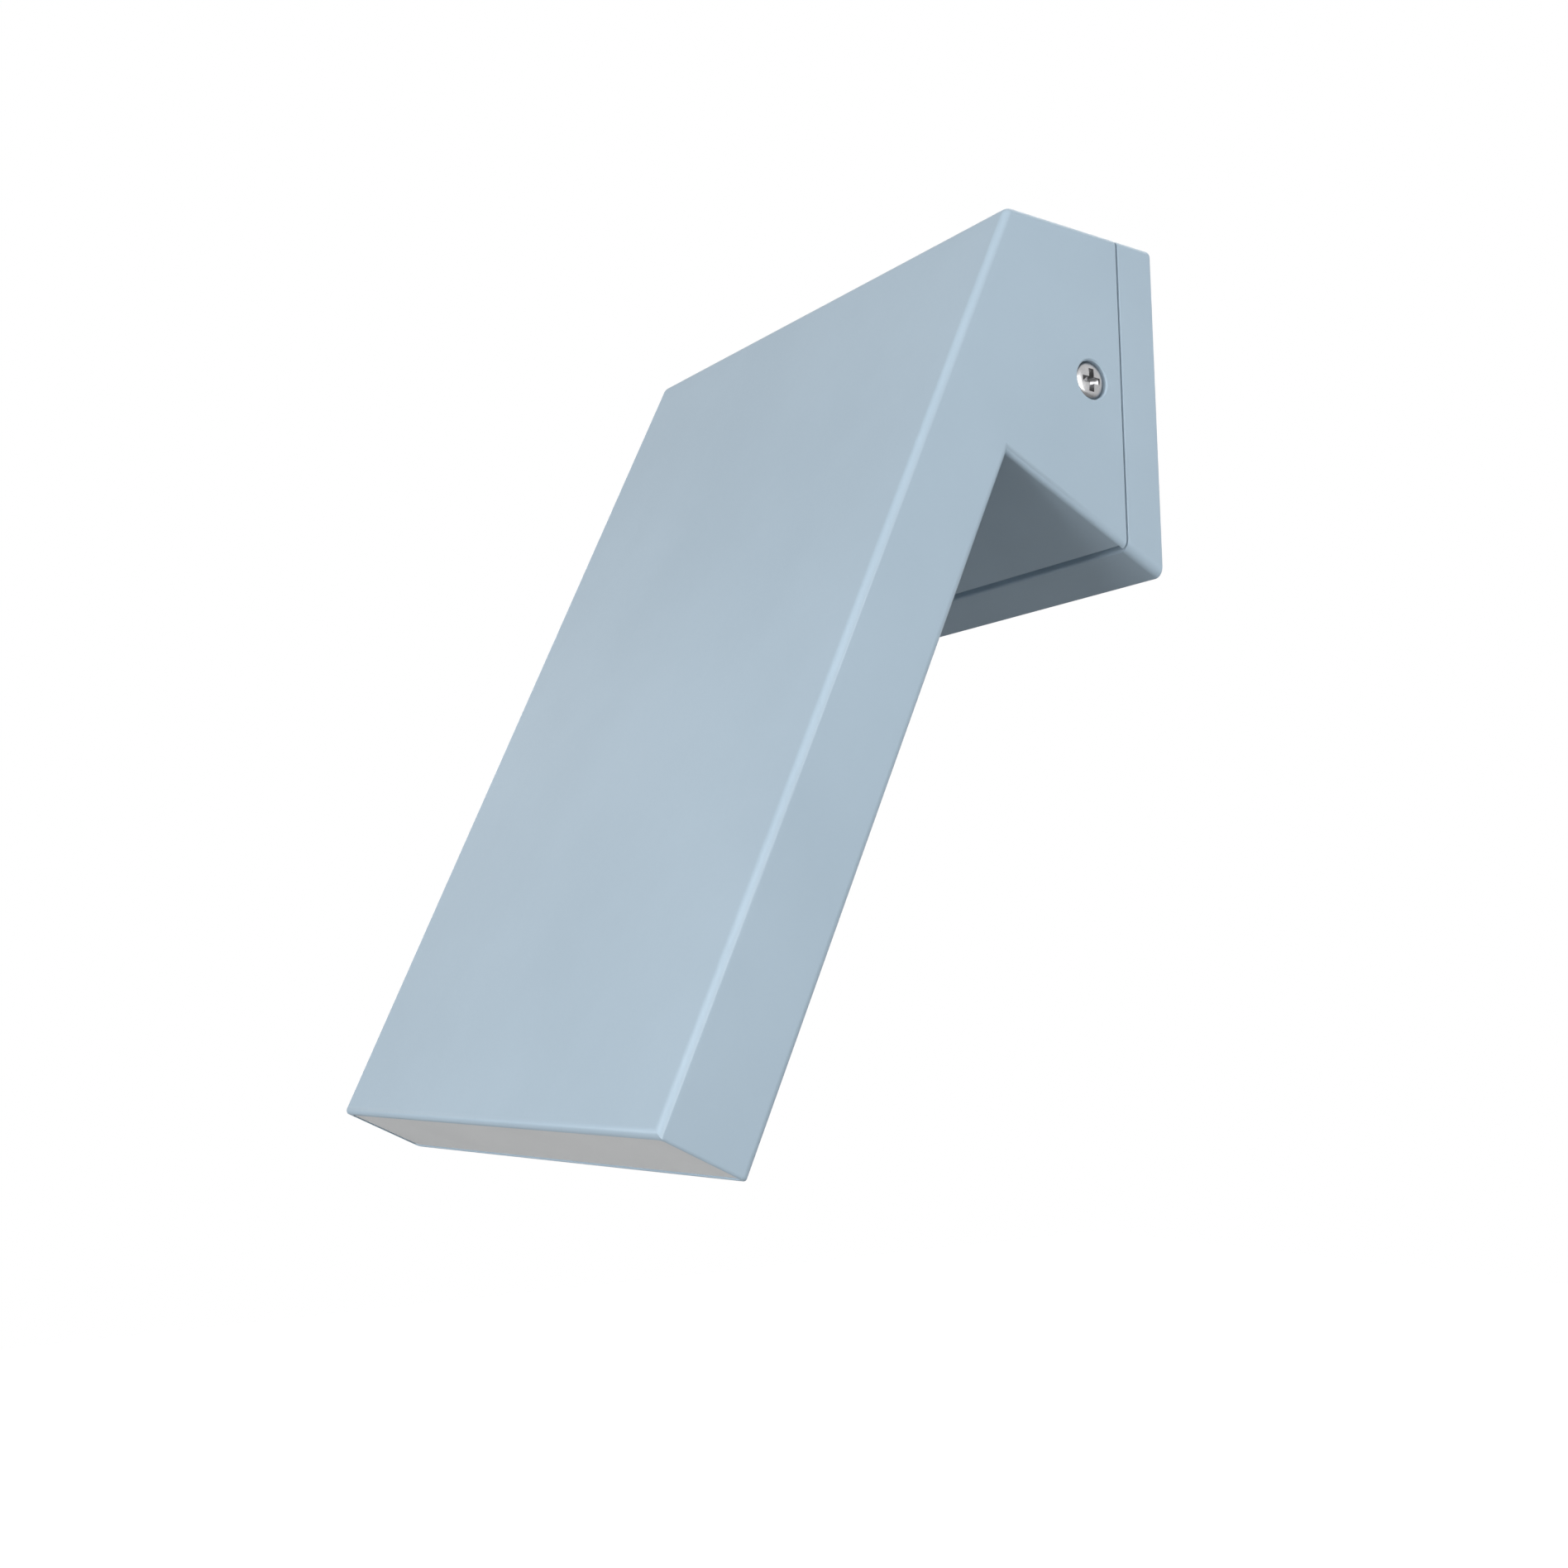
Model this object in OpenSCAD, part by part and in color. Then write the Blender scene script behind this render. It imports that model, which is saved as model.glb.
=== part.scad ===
// Outdoor wall light: a flat slanted arm on a short head, clamped to a wall bracket by two side screws.
// X runs across the width, the wall is the plane y = 0, the light stands out towards -Y, and Z is up.
// The origin is the centre of the bracket's rear face, midway between the two wall fixing holes.

/* [Housing] */
// Width across the side faces
body_w = 130; // [116:1:150]
// Length of the sloping front face
arm_len = 198; // [180:1:230]
// Thickness of the arm
arm_t = 20; // [19:0.5:24]
// Lean of the arm from the vertical, in degrees
arm_angle = 25; // [21:1:29]
// Distance from the wall to the top front edge
head_depth = 40.5; // [39:0.5:48]
// Height of the face on the wall
rear_h = 71; // [68:1:80]
// Thickness of the cast walls
wall = 2.5; // [2.2:0.1:3]
// Radius of the outer edges
edge_r = 1.6; // [1:0.1:2]

/* [Wall bracket] */
// Depth of the bracket, from the wall to the seam
bracket_depth = 10; // [9:0.5:11]
// Thickness of the bracket's back plate
plate_t = 3; // [2.6:0.2:4]
// Width of the bracket's rim
rim_w = 4; // [3.6:0.2:4.8]
// Open seam between the bracket and the housing
seam_gap = 0.4; // [0.3:0.1:0.8]
// Distance between the two wall fixing holes
fixing_span = 80; // [60:1:84]
// Radius of the wall fixing holes
fixing_r = 2.5; // [2:0.1:3]
// Radius of the boss round a wall fixing hole
fixing_boss_r = 7; // [6:0.5:9]
// Height of the boss round a wall fixing hole
fixing_boss_h = 2; // [1.5:0.5:3]
// Radius of the hole that holds the grommet
grommet_r = 8; // [7:0.5:10]
// Radius of the mains cable
cable_r = 4; // [3:0.5:5]
// Width of the foam gasket on the wall
gasket_w = 3; // [2:0.5:4]
// Depth of the gasket's groove
gasket_t = 1.2; // [1:0.1:1.6]
// Width of the seal in the seam
seam_seal_w = 1.5; // [1.2:0.1:2]
// Distance from the outer face to the seal in the seam
seam_seal_inset = 1; // [0.8:0.1:1.4]
// Depth of the groove for the seal in the seam
seam_groove = 1.5; // [1.2:0.1:2]

/* [Side screws] */
// Height of the side screws below the top face
screw_drop = 32; // [28:0.5:36]
// Distance from the wall to the side screws
screw_setback = 18.7; // [18.2:0.1:20]
// Radius of a side screw's thread
screw_r = 2; // [1.5:0.1:2.2]
// Radius of a side screw's head
screw_head_r = 4; // [3.4:0.1:4.2]
// Height of a side screw's head
screw_head_h = 1.8; // [1.4:0.1:2]
// Depth of a side screw's head below the side face
screw_sink = 0.2; // [0:0.1:0.4]
// Thickness of the sealing ring under a side screw's head
ring_t = 0.6; // [0.4:0.1:0.8]
// Radius of the boss inside the housing for a side screw
side_boss_r = 6; // [5.4:0.2:6.4]
// Height of the boss inside the housing for a side screw
side_boss_h = 2.5; // [2:0.1:3]
// Thickness of the bracket's ears
ear_t = 2; // [1.6:0.2:2.6]
// Height of the bracket's ears
ear_h = 18; // [14:1:22]
// Thickness of a clamp nut
nut_t = 3.5; // [3:0.1:4]
// Height of a clamp nut
nut_h = 8; // [7:0.5:9]
// Length of a clamp nut
nut_len = 16; // [15:0.5:18]
// Length of a clamp nut's nose, in front of the ear
nut_nose = 6; // [4:0.5:7]
// Travel of a clamp nut when its screw is let go
nut_travel = 2.1; // [1.4:0.1:2.8]
// Thickness of the ribs that keep a clamp nut from turning
rib_t = 1.5; // [1.2:0.1:2]

/* [Arm cover] */
// Thickness of the cover on the back of the arm
cover_t = 2; // [1.6:0.1:2.4]
// Thickness of the seal under the cover
cover_seal_t = 1; // [0.8:0.1:1.2]
// Width of the ledge that carries the cover
ledge_w = 3; // [2.6:0.1:4]
// Thickness of the ledge that carries the cover
ledge_t = 2; // [1.6:0.1:2.4]
// Gap round the cover
cover_gap = 0.3; // [0.2:0.05:0.5]
// Clearance between the light board's carrier and the cover's ledge
carrier_clear = 1.5; // [1:0.5:4]
// Radius of the bosses for the cover screws
cover_boss_r = 4; // [3.5:0.1:4.4]
// Radius of the small screws' thread
small_r = 1.5; // [1.2:0.1:1.6]
// Length of a cover screw
cover_screw_len = 10; // [7:0.5:11]
// Radius of a cover screw's countersunk head
cover_head_r = 2.9; // [2.6:0.1:3.2]
// Height of a cover screw's countersunk head
cover_head_h = 1.5; // [1.3:0.1:1.55]

/* [Light at the lower end] */
// Depth of the diffuser below the rim
diffuser_sink = 0.6; // [0.3:0.1:1.2]
// Thickness of the opal diffuser
diffuser_t = 3; // [2:0.5:4]
// Gap round the diffuser
diffuser_gap = 0.25; // [0.15:0.05:0.4]
// Thickness of the seal behind the diffuser
diffuser_seal_t = 0.8; // [0.5:0.1:1.2]
// Width of the shelf behind the diffuser
shelf_w = 1.5; // [1.2:0.1:2]
// Thickness of the shelf behind the diffuser
shelf_t = 1.5; // [1:0.1:2]
// Height of the reflector between the shelf and the board
chamber_h = 16; // [14:0.5:18]
// Thickness of the reflector's walls
reflector_t = 1; // [0.8:0.1:1.3]
// Width of the light board
board_w = 12; // [11:0.5:12.5]
// Thickness of the light board
board_t = 1.6; // [1:0.1:2]
// Distance between two light chips
chip_pitch = 8.2; // [7:0.1:12]
// Side of a light chip
chip_w = 3; // [2.4:0.1:3.4]
// Height of a light chip
chip_h = 0.7; // [0.5:0.1:0.9]
// Thickness of the carrier behind the board
carrier_t = 2; // [1.5:0.1:2.5]
// Distance from a board screw to the light board's connector
connector_inset = 8; // [7:0.5:12]
// Distance from the carrier's leg to the connector
leg_gap = 1.5; // [1:0.5:8]
// Length of the carrier's leg
leg_len = 16; // [14:0.5:20]
// Thickness of the heat pad
pad_t = 0.5; // [0.3:0.1:0.8]
// Height of the cast lands and bosses that take the small screws
land_h = 3; // [2.6:0.1:3.2]

/* [Driver] */
// Length of the driver, across the arm
driver_len = 84; // [70:1:90]
// Width of the driver, along the arm
driver_w = 40; // [30:1:44]
// Height of the driver
driver_h = 11; // [9:0.5:12]
// Length of a driver's fixing tab
tab_len = 8; // [7:0.5:9]
// Thickness of a fixing tab
tab_t = 2; // [1.5:0.1:2.5]

/* [Terminal block] */
// Distance between two poles of the terminal block
pole_pitch = 8; // [7:0.5:9]
// Length of the terminal block along the wires
block_len = 16; // [13:0.5:17]
// Height of the terminal block
block_h = 14; // [13:0.5:15]
// Distance from the arm's back to the terminal block
block_setback = 6; // [4:0.5:8]
// Radius of the wires, over their sleeve
wire_r = 0.95; // [0.8:0.05:1.05]
// Radius of the earth screw's thread
earth_r = 2; // [1.5:0.1:2.2]

/* [Hidden] */
$fn = 48;

cut = 1;
shaft_gap = 0.05;
slide_gap = 0.1;
seat_gap = 0.15;
blind_floor = 0.6;
tip_gap = 0.2;
small_head_r = 2.7;
small_head_h = 1.7;
small_boss_r = small_head_r + 1;
board_end_gap = 4.5;
board_screw_inset = 3;
board_screw_r = 1.25;
board_head_r = 2.1;
board_head_h = 1.2;
recess_w = 0.7;
grommet_lip = 1.8;
grommet_lip_w = 2;
grommet_nose = 5;
grommet_tip_w = 1;
grommet_root_w = 2.6;

half_w = body_w / 2;
inner_x = half_w - wall;
top_z = rear_h / 2;
seam_y = -bracket_depth - seam_gap;
ca = cos(arm_angle);
sa = sin(arm_angle);
reach = arm_len + rear_h;

// Level of the head's underside in the arm's own frame, where it meets the back of the arm
notch_z = head_depth * sa - rear_h * ca;
floor_z = notch_z + wall;

// The underside's height at a distance from the wall
function under_z(y) = -top_z - y * tan(arm_angle);
// Where a point of the side face lies in the arm's own frame, as across and along
function arm_point(y, z) =
  [(y + head_depth) * ca - (z - top_z) * sa, (y + head_depth) * sa + (z - top_z) * ca];
// How far across the arm's own frame a level of it runs into the bracket
function seam_across(along) = (seam_y + cut + head_depth - along * sa) / ca;

screw_z = top_z - screw_drop;
boss_x = inner_x - side_boss_h;
ear_x = boss_x - slide_gap;
nut_x = ear_x - ear_t - slide_gap;
screw_end_x = nut_x - nut_t - nut_travel - 1;
ear_end = screw_setback + side_boss_r;
nut_front = ear_end + nut_nose;
rib_start = ear_end + 2;
sink_depth = screw_sink + screw_head_h + ring_t;

diffuser_z = -arm_len + diffuser_sink;
shelf_z = diffuser_z + diffuser_t + diffuser_seal_t;
reflector_z = shelf_z + shelf_t;
board_z = reflector_z + chamber_h;
carrier_z = board_z + board_t;
leg_z = carrier_z + carrier_t;

cover_z0 = leg_z + carrier_clear + ledge_w;
cover_z1 = notch_z - wall;
cover_y = arm_t - cover_t;
seal_y = cover_y - cover_seal_t;
cover_screw_x = inner_x - ledge_w - cover_boss_r - 0.5;
cover_screw_inset = ledge_w + cover_boss_r + 3;
cover_screw_z = [cover_z0 + cover_screw_inset, cover_z1 - cover_screw_inset];

board_y = arm_t / 2;
board_len = 2 * (inner_x - board_end_gap);
board_screw_x = board_len / 2 - board_screw_inset;
chip_n = 2 * floor((board_screw_x - 2 * board_screw_inset) / chip_pitch + 0.5);
chip_hole_r = chip_w * 0.8;
land_y = wall + land_h;
leg_y = land_y + pad_t;
leg_mid_z = leg_z + leg_len / 2;
connector_w = 7;
connector_d = 5;
connector_h = 4.5;
connector_gap = 0.5;
connector_x = board_screw_x - connector_inset;
leg_w = 2 * (connector_x - connector_w / 2 - leg_gap);
carrier_screw_x = [-leg_w * 0.38, 0, leg_w * 0.38];
wire_pair = 2.6;

driver_step = 1;
entry_depth = 3;
wire_lead = 2.5;
wire_bend = 8;
mains_pair = 6;
lamp_pair = 5;
driver_z = (cover_z1 + leg_z + leg_len) / 2;
driver_low = driver_z - driver_w / 2;
driver_high = driver_z + driver_w / 2;
driver_tab_x = driver_len / 2 + tab_len / 2;
mains_wire_x = [-driver_len / 4, -driver_len / 4 + mains_pair];
lamp_wire_x = [driver_len / 4, driver_len / 4 + lamp_pair];
driver_wire_y = wall + driver_h * 0.6;

pole_wall = 0.6;
pole_rise = 3;
block_y = arm_t + block_setback;
block_w = 3 * pole_pitch + 2;
block_tab_x = block_w / 2 + tab_len / 2;
block_mid_y = block_y + block_len / 2;
clamp_r = 2.6;
clamp_bore_r = 1.4;
clamp_grip = 5;
clamp_lift = 5;
clamp_z = floor_z + clamp_lift;
terminal_head_lift = 5.4;
terminal_head_z = clamp_z + terminal_head_lift;
terminal_head_r = 2.1;
lug_t = 0.8;
lug_r = 4.4;
lug_z = floor_z + land_h;
barrel_r = 1.8;
barrel_len = 6;
barrel_z = lug_z + barrel_r;
earth_x = block_tab_x + tab_len / 2 + 2 * lug_r + 1;
earth_y = block_mid_y;
barrel_y = earth_y - lug_r - 1;

// Places its children in the arm's frame: y across from the front face, z up along the arm from its top
module in_arm() {
  translate([0, -head_depth, top_z])
    rotate([-arm_angle, 0, 0])
      children();
}

// Gives an outline drawn in the plane of the side face its width
module across(w) {
  translate([-w / 2, 0, 0])
    rotate([90, 0, 90])
      linear_extrude(w)
        children();
}

// A box given by its lowest and highest corners
module box(low, high) {
  translate(low)
    cube(high - low);
}

// Turns its children's z to y, square to the wall or to the arm's front face
module facing_back() {
  rotate([-90, 0, 0])
    children();
}

// A round bar along y, from one depth to another
module bar_y(x, z, y0, y1, r) {
  translate([x, y0, z])
    facing_back()
      cylinder(h = y1 - y0, r = r);
}

// A round bar along x on a side screw's axis
module bar_x(x0, x1, r) {
  translate([x0, -screw_setback, screw_z])
    rotate([0, 90, 0])
      cylinder(h = x1 - x0, r = r);
}

// A block as wide as the body, its face on y = 0 with both long edges rounded
module rounded_block() {
  translate([0, 0, -reach])
    linear_extrude(2 * reach) {
      translate([-half_w, edge_r])
        square([body_w, reach]);
      translate([-half_w + edge_r, 0])
        square([body_w - 2 * edge_r, reach]);
      for (side = [-1, 1])
        translate([side * (half_w - edge_r), edge_r])
          circle(edge_r);
    }
}

// Rounds the side edges of the top face
module top_round() {
  translate([0, 0, top_z])
    facing_back()
      rounded_block();
}

// Rounds the side edges of the head's underside
module under_round() {
  in_arm()
    translate([0, 0, notch_z])
      rotate([90, 0, 0])
        rounded_block();
}

// The arm's rounded bar, which reaches a little way up into the head, in the arm's own frame
module arm_form() {
  intersection() {
    across(body_w) {
      translate([0, -arm_len + edge_r])
        square([arm_t, arm_len + notch_z + wall - edge_r]);
      translate([edge_r, -arm_len])
        square([arm_t - 2 * edge_r, arm_len + notch_z + wall]);
      for (y = [edge_r, arm_t - edge_r])
        translate([y, -arm_len + edge_r])
          circle(edge_r);
    }
    rounded_block();
    translate([0, arm_t, 0])
      mirror([0, 1, 0])
        rounded_block();
    translate([0, 0, -arm_len])
      rotate([90, 0, 0])
        rounded_block();
  }
}

// The head's rounded wedge, up to a little way behind the seam, in the arm's own frame
module head_form() {
  tip = edge_r * tan((90 - arm_angle) / 2);
  intersection() {
    across(body_w) {
      polygon([
        [0, -tip],
        [0, notch_z],
        [seam_across(notch_z), notch_z],
        arm_point(seam_y + cut, top_z),
        [tip * ca, tip * sa]
      ]);
      translate([edge_r, -tip])
        circle(edge_r);
    }
    rounded_block();
    rotate([arm_angle - 90, 0, 0])
      rounded_block();
    translate([0, 0, notch_z])
      rotate([90, 0, 0])
        rounded_block();
  }
}

// The hollow of the head and the arm, open at the seam and at the lower end, in the arm's own frame
module hollow() {
  across(2 * inner_x)
    polygon([
      [wall, -wall * (1 - sa) / ca],
      [wall, -arm_len - cut],
      [arm_t - wall, -arm_len - cut],
      [arm_t - wall, floor_z],
      [seam_across(floor_z), floor_z],
      arm_point(seam_y + cut, top_z - wall)
    ]);
}

// The ledge round the cover, with the pocket for the cover and its seal taken out
module cover_ledge() {
  difference() {
    box([-inner_x - cut, seal_y - ledge_t, cover_z0 - ledge_w],
      [inner_x + cut, arm_t - wall / 2, cover_z1 + wall]);
    cover_pocket();
    cover_window();
  }
}

// The recess for the cover and its seal
module cover_pocket() {
  box([-inner_x, seal_y, cover_z0], [inner_x, arm_t + cut, cover_z1]);
}

// The opening inside the ledge
module cover_window() {
  box([-inner_x + ledge_w, 0, cover_z0 + ledge_w], [inner_x - ledge_w, arm_t, cover_z1 - ledge_w]);
}

// A sheet of the cover's outline, between two depths of the arm
module cover_sheet(y0, y1) {
  box([-inner_x + cover_gap, y0, cover_z0 + cover_gap], [inner_x - cover_gap, y1, cover_z1 - cover_gap]);
}

// The shelf that stops the diffuser and its seal
module diffuser_shelf() {
  difference() {
    box([-inner_x - cut, wall / 2, shelf_z], [inner_x + cut, arm_t - wall / 2, reflector_z]);
    shelf_window();
  }
}

// The opening inside the shelf
module shelf_window() {
  box([-inner_x + shelf_w, wall + shelf_w, -arm_len],
    [inner_x - shelf_w, arm_t - wall - shelf_w, reflector_z + cut]);
}

// Two places at the same distance left and right of the middle
module pair(x, y, z) {
  for (side = [-1, 1])
    translate([side * x, y, z])
      children();
}

// The boss for a side screw, and the two ribs that the clamp nut's nose slides between
module side_boss() {
  rib_z = nut_h / 2 + seat_gap;
  bar_x(boss_x, inner_x + cut, side_boss_r);
  for (z = [screw_z + rib_z, screw_z - rib_z - rib_t])
    box([screw_end_x, -nut_front - 1, z], [inner_x + cut, -rib_start, z + rib_t]);
}

// The hole for a side screw and the seat for its head and ring
module side_holes() {
  bar_x(boss_x - cut, half_w, screw_r + shaft_gap);
  bar_x(half_w - sink_depth, half_w + cut, screw_head_r + slide_gap);
}

// Both sides of the light, the left one a mirror image
module both_sides() {
  children();
  mirror([1, 0, 0])
    children();
}

// A pan head screw, its thread down from z = 0
module pan_screw(r, len, head_r, head_h) {
  difference() {
    union() {
      translate([0, 0, -len])
        cylinder(h = len + head_h / 2, r = r);
      cylinder(h = head_h * 0.6, r = head_r);
      translate([0, 0, head_h * 0.6])
        cylinder(h = head_h * 0.4, r1 = head_r, r2 = head_r * 0.8);
    }
    for (turn = [0, 90])
      rotate([0, 0, turn])
        translate([-head_r * 0.55, -recess_w / 2, head_h * 0.3])
          cube([head_r * 1.1, recess_w, head_h]);
  }
}

// A small screw that holds something of the given thickness on a land or boss
module small_screw(held) {
  pan_screw(small_r, held + land_h - blind_floor - tip_gap, small_head_r, small_head_h);
}

// Point a share t of the way from one point to the next on the smooth curve through all of them
function curve_point(p, i, t) =
  let (
    a = p[max(i - 1, 0)],
    b = p[i],
    c = p[i + 1],
    d = p[min(i + 2, len(p) - 1)]
  )
  0.5 * (2 * b + (c - a) * t + (2 * a - 5 * b + 4 * c - d) * t * t + (3 * b - a - 3 * c + d) * t * t * t);
function curve(p, n) =
  concat([for (i = [0 : len(p) - 2]) for (k = [0 : n - 1]) curve_point(p, i, k / n)], [p[len(p) - 1]]);
function unit(v) = v / norm(v);
function heading(c, i) = unit(c[min(i + 1, len(c) - 1)] - c[max(i - 1, 0)]);
function wire_ring(c, i, r, n) =
  let (
    t = heading(c, i),
    u = unit(cross(t, [1, 0.35, 0])),
    v = cross(t, u)
  )
  [for (k = [0 : n - 1]) c[i] + r * (cos(360 * k / n) * u + sin(360 * k / n) * v)];

// A wire of the arm's frame through chosen points, as one closed tube
module wire(points) {
  sides = 8;
  c = curve(points, 5);
  last = len(c) - 1;
  polyhedron(
    points = [for (i = [0 : last]) each wire_ring(c, i, wire_r, sides)],
    faces = concat(
      [[for (k = [0 : sides - 1]) k]],
      [[for (k = [0 : sides - 1]) last * sides + sides - 1 - k]],
      [for (i = [0 : last - 1]) for (k = [0 : sides - 1])
        each let (m = (k + 1) % sides, a = i * sides, b = a + sides)
          [[a + k, b + k, b + m], [a + k, b + m, a + m]]]
    )
  );
}

module wall_bracket() {
  color("LightSteelBlue")
    difference() {
      union() {
        difference() {
          intersection() {
            across(body_w)
              polygon([
                [0, -top_z],
                [0, top_z],
                [-bracket_depth, top_z],
                [-bracket_depth, under_z(-bracket_depth)]
              ]);
            top_round();
            under_round();
          }
          across(body_w - 2 * rim_w)
            polygon([
              [-plate_t, under_z(-plate_t) + rim_w / ca],
              [-plate_t, top_z - rim_w],
              [-bracket_depth - cut, top_z - rim_w],
              [-bracket_depth - cut, under_z(-bracket_depth - cut) + rim_w / ca]
            ]);
        }
        for (side = [-1, 1])
          bar_y(side * fixing_span / 2, 0, -plate_t - fixing_boss_h, -plate_t / 2, fixing_boss_r);
        both_sides()
          box([ear_x - ear_t, -ear_end, screw_z - ear_h / 2], [ear_x, -plate_t / 2, screw_z + ear_h / 2]);
      }
      for (side = [-1, 1])
        bar_y(side * fixing_span / 2, 0, -bracket_depth, cut, fixing_r);
      bar_y(0, 0, -bracket_depth, cut, grommet_r);
      both_sides() {
        bar_x(ear_x - ear_t - cut, ear_x + cut, screw_r + slide_gap);
        box([ear_x - ear_t - cut, -ear_end - cut, screw_z - screw_r - slide_gap],
          [ear_x + cut, -screw_setback, screw_z + screw_r + slide_gap]);
      }
      gasket_ring(0, gasket_t + cut);
      translate([0, -bracket_depth - cut, 0])
        seam_ring(0, seam_groove + cut);
    }
}

// A flat ring in the rear face, with a gap on either side of it
module gasket_ring(gap, depth) {
  outer_x = half_w - rim_w;
  outer_z = top_z - rim_w;
  translate([0, depth - gasket_t, 0])
    difference() {
      box([-outer_x + gap, -depth, -outer_z + gap], [outer_x - gap, 0, outer_z - gap]);
      box([-outer_x + gasket_w - gap, -depth - cut, -outer_z + gasket_w - gap],
        [outer_x - gasket_w + gap, cut, outer_z - gasket_w + gap]);
    }
}

// A ring along the seam, from y = 0 back to the given depth, with a gap on either side of it
module seam_ring(gap, depth) {
  outer_x = half_w - seam_seal_inset;
  low_z = under_z(-bracket_depth) + seam_seal_inset + edge_r / 2;
  high_z = top_z - seam_seal_inset;
  difference() {
    box([-outer_x + gap, 0, low_z + gap], [outer_x - gap, depth, high_z - gap]);
    box([-outer_x + seam_seal_w - gap, -cut, low_z + seam_seal_w - gap],
      [outer_x - seam_seal_w + gap, depth + cut, high_z - seam_seal_w + gap]);
  }
}

module wall_gasket() {
  color("DimGray")
    gasket_ring(shaft_gap, gasket_t);
}

module cable_grommet() {
  color("DimGray")
    difference() {
      union() {
        bar_y(0, 0, -plate_t, 0, grommet_r - shaft_gap);
        bar_y(0, 0, -plate_t - grommet_lip, -plate_t, grommet_r + grommet_lip_w);
        translate([0, -plate_t - grommet_nose, 0])
          facing_back()
            cylinder(h = grommet_nose - cut, r1 = cable_r + grommet_tip_w, r2 = cable_r + grommet_root_w);
      }
      bar_y(0, 0, -plate_t - grommet_nose - cut, cut, cable_r);
    }
}

module seam_seal() {
  color("Black")
    translate([0, seam_y + slide_gap, 0])
      seam_ring(shaft_gap, seam_groove + seam_gap - slide_gap);
}

module housing() {
  color("LightSteelBlue")
    difference() {
      union() {
        in_arm()
          difference() {
            union() {
              arm_form();
              head_form();
            }
            hollow();
            cover_pocket();
          }
        both_sides()
          side_boss();
        in_arm() {
          cover_ledge();
          diffuser_shelf();
          for (z = cover_screw_z)
            pair(cover_screw_x, wall / 2, z)
              facing_back()
                cylinder(h = cover_y - wall / 2, r = cover_boss_r);
          box([-leg_w / 2, wall / 2, leg_z], [leg_w / 2, land_y, leg_z + leg_len]);
          pair(driver_tab_x, wall / 2, driver_z)
            facing_back()
              cylinder(h = land_y - wall / 2, r = small_boss_r);
          pair(block_tab_x, block_mid_y, floor_z - wall / 2)
            cylinder(h = land_h + wall / 2, r = small_boss_r);
          translate([earth_x, earth_y, floor_z - wall / 2])
            cylinder(h = land_h + wall / 2, r = lug_r + 0.5);
        }
      }
      box([-body_w, seam_y, -rear_h], [body_w, cut, rear_h]);
      both_sides()
        side_holes();
      in_arm() {
        for (z = cover_screw_z)
          pair(cover_screw_x, cover_y - cover_screw_len, z)
            facing_back()
              cylinder(h = cover_screw_len + cut, r = small_r + shaft_gap);
        for (x = carrier_screw_x)
          bar_y(x, leg_mid_z, wall + blind_floor, land_y + cut, small_r + shaft_gap);
        pair(driver_tab_x, wall + blind_floor, driver_z)
          facing_back()
            cylinder(h = land_h, r = small_r + shaft_gap);
        pair(block_tab_x, block_mid_y, floor_z + blind_floor)
          cylinder(h = land_h, r = small_r + shaft_gap);
        translate([earth_x, earth_y, floor_z + blind_floor])
          cylinder(h = land_h, r = earth_r + shaft_gap);
      }
    }
}

module arm_cover() {
  color("LightSteelBlue")
    in_arm()
      difference() {
        cover_sheet(cover_y, arm_t);
        for (z = cover_screw_z)
          pair(cover_screw_x, 0, z)
            facing_back() {
              cylinder(h = arm_t, r = small_r + slide_gap);
              translate([0, 0, arm_t - cover_head_h])
                cylinder(h = cover_head_h + 0.01, r1 = small_r + slide_gap, r2 = cover_head_r + slide_gap);
            }
      }
}

module cover_seal() {
  color("Black")
    in_arm()
      difference() {
        cover_sheet(seal_y, cover_y);
        cover_window();
      }
}

module cover_screws() {
  color("Silver")
    in_arm()
      for (z = cover_screw_z)
        pair(cover_screw_x, arm_t, z)
          facing_back()
            difference() {
              union() {
                translate([0, 0, -cover_head_h])
                  cylinder(h = cover_head_h, r1 = small_r, r2 = cover_head_r);
                translate([0, 0, -cover_screw_len])
                  cylinder(h = cover_screw_len - cover_head_h, r = small_r);
              }
              for (turn = [0, 90])
                rotate([0, 0, turn])
                  translate([-small_r, -recess_w / 2, -cover_head_h * 0.7])
                    cube([2 * small_r, recess_w, cover_head_h]);
            }
}

module diffuser() {
  color("WhiteSmoke")
    in_arm()
      box([-inner_x + diffuser_gap, wall + diffuser_gap, diffuser_z],
        [inner_x - diffuser_gap, arm_t - wall - diffuser_gap, diffuser_z + diffuser_t]);
}

module diffuser_seal() {
  color("LightGray")
    in_arm()
      difference() {
        box([-inner_x + diffuser_gap, wall + diffuser_gap, diffuser_z + diffuser_t],
          [inner_x - diffuser_gap, arm_t - wall - diffuser_gap, shelf_z]);
        shelf_window();
      }
}

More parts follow.
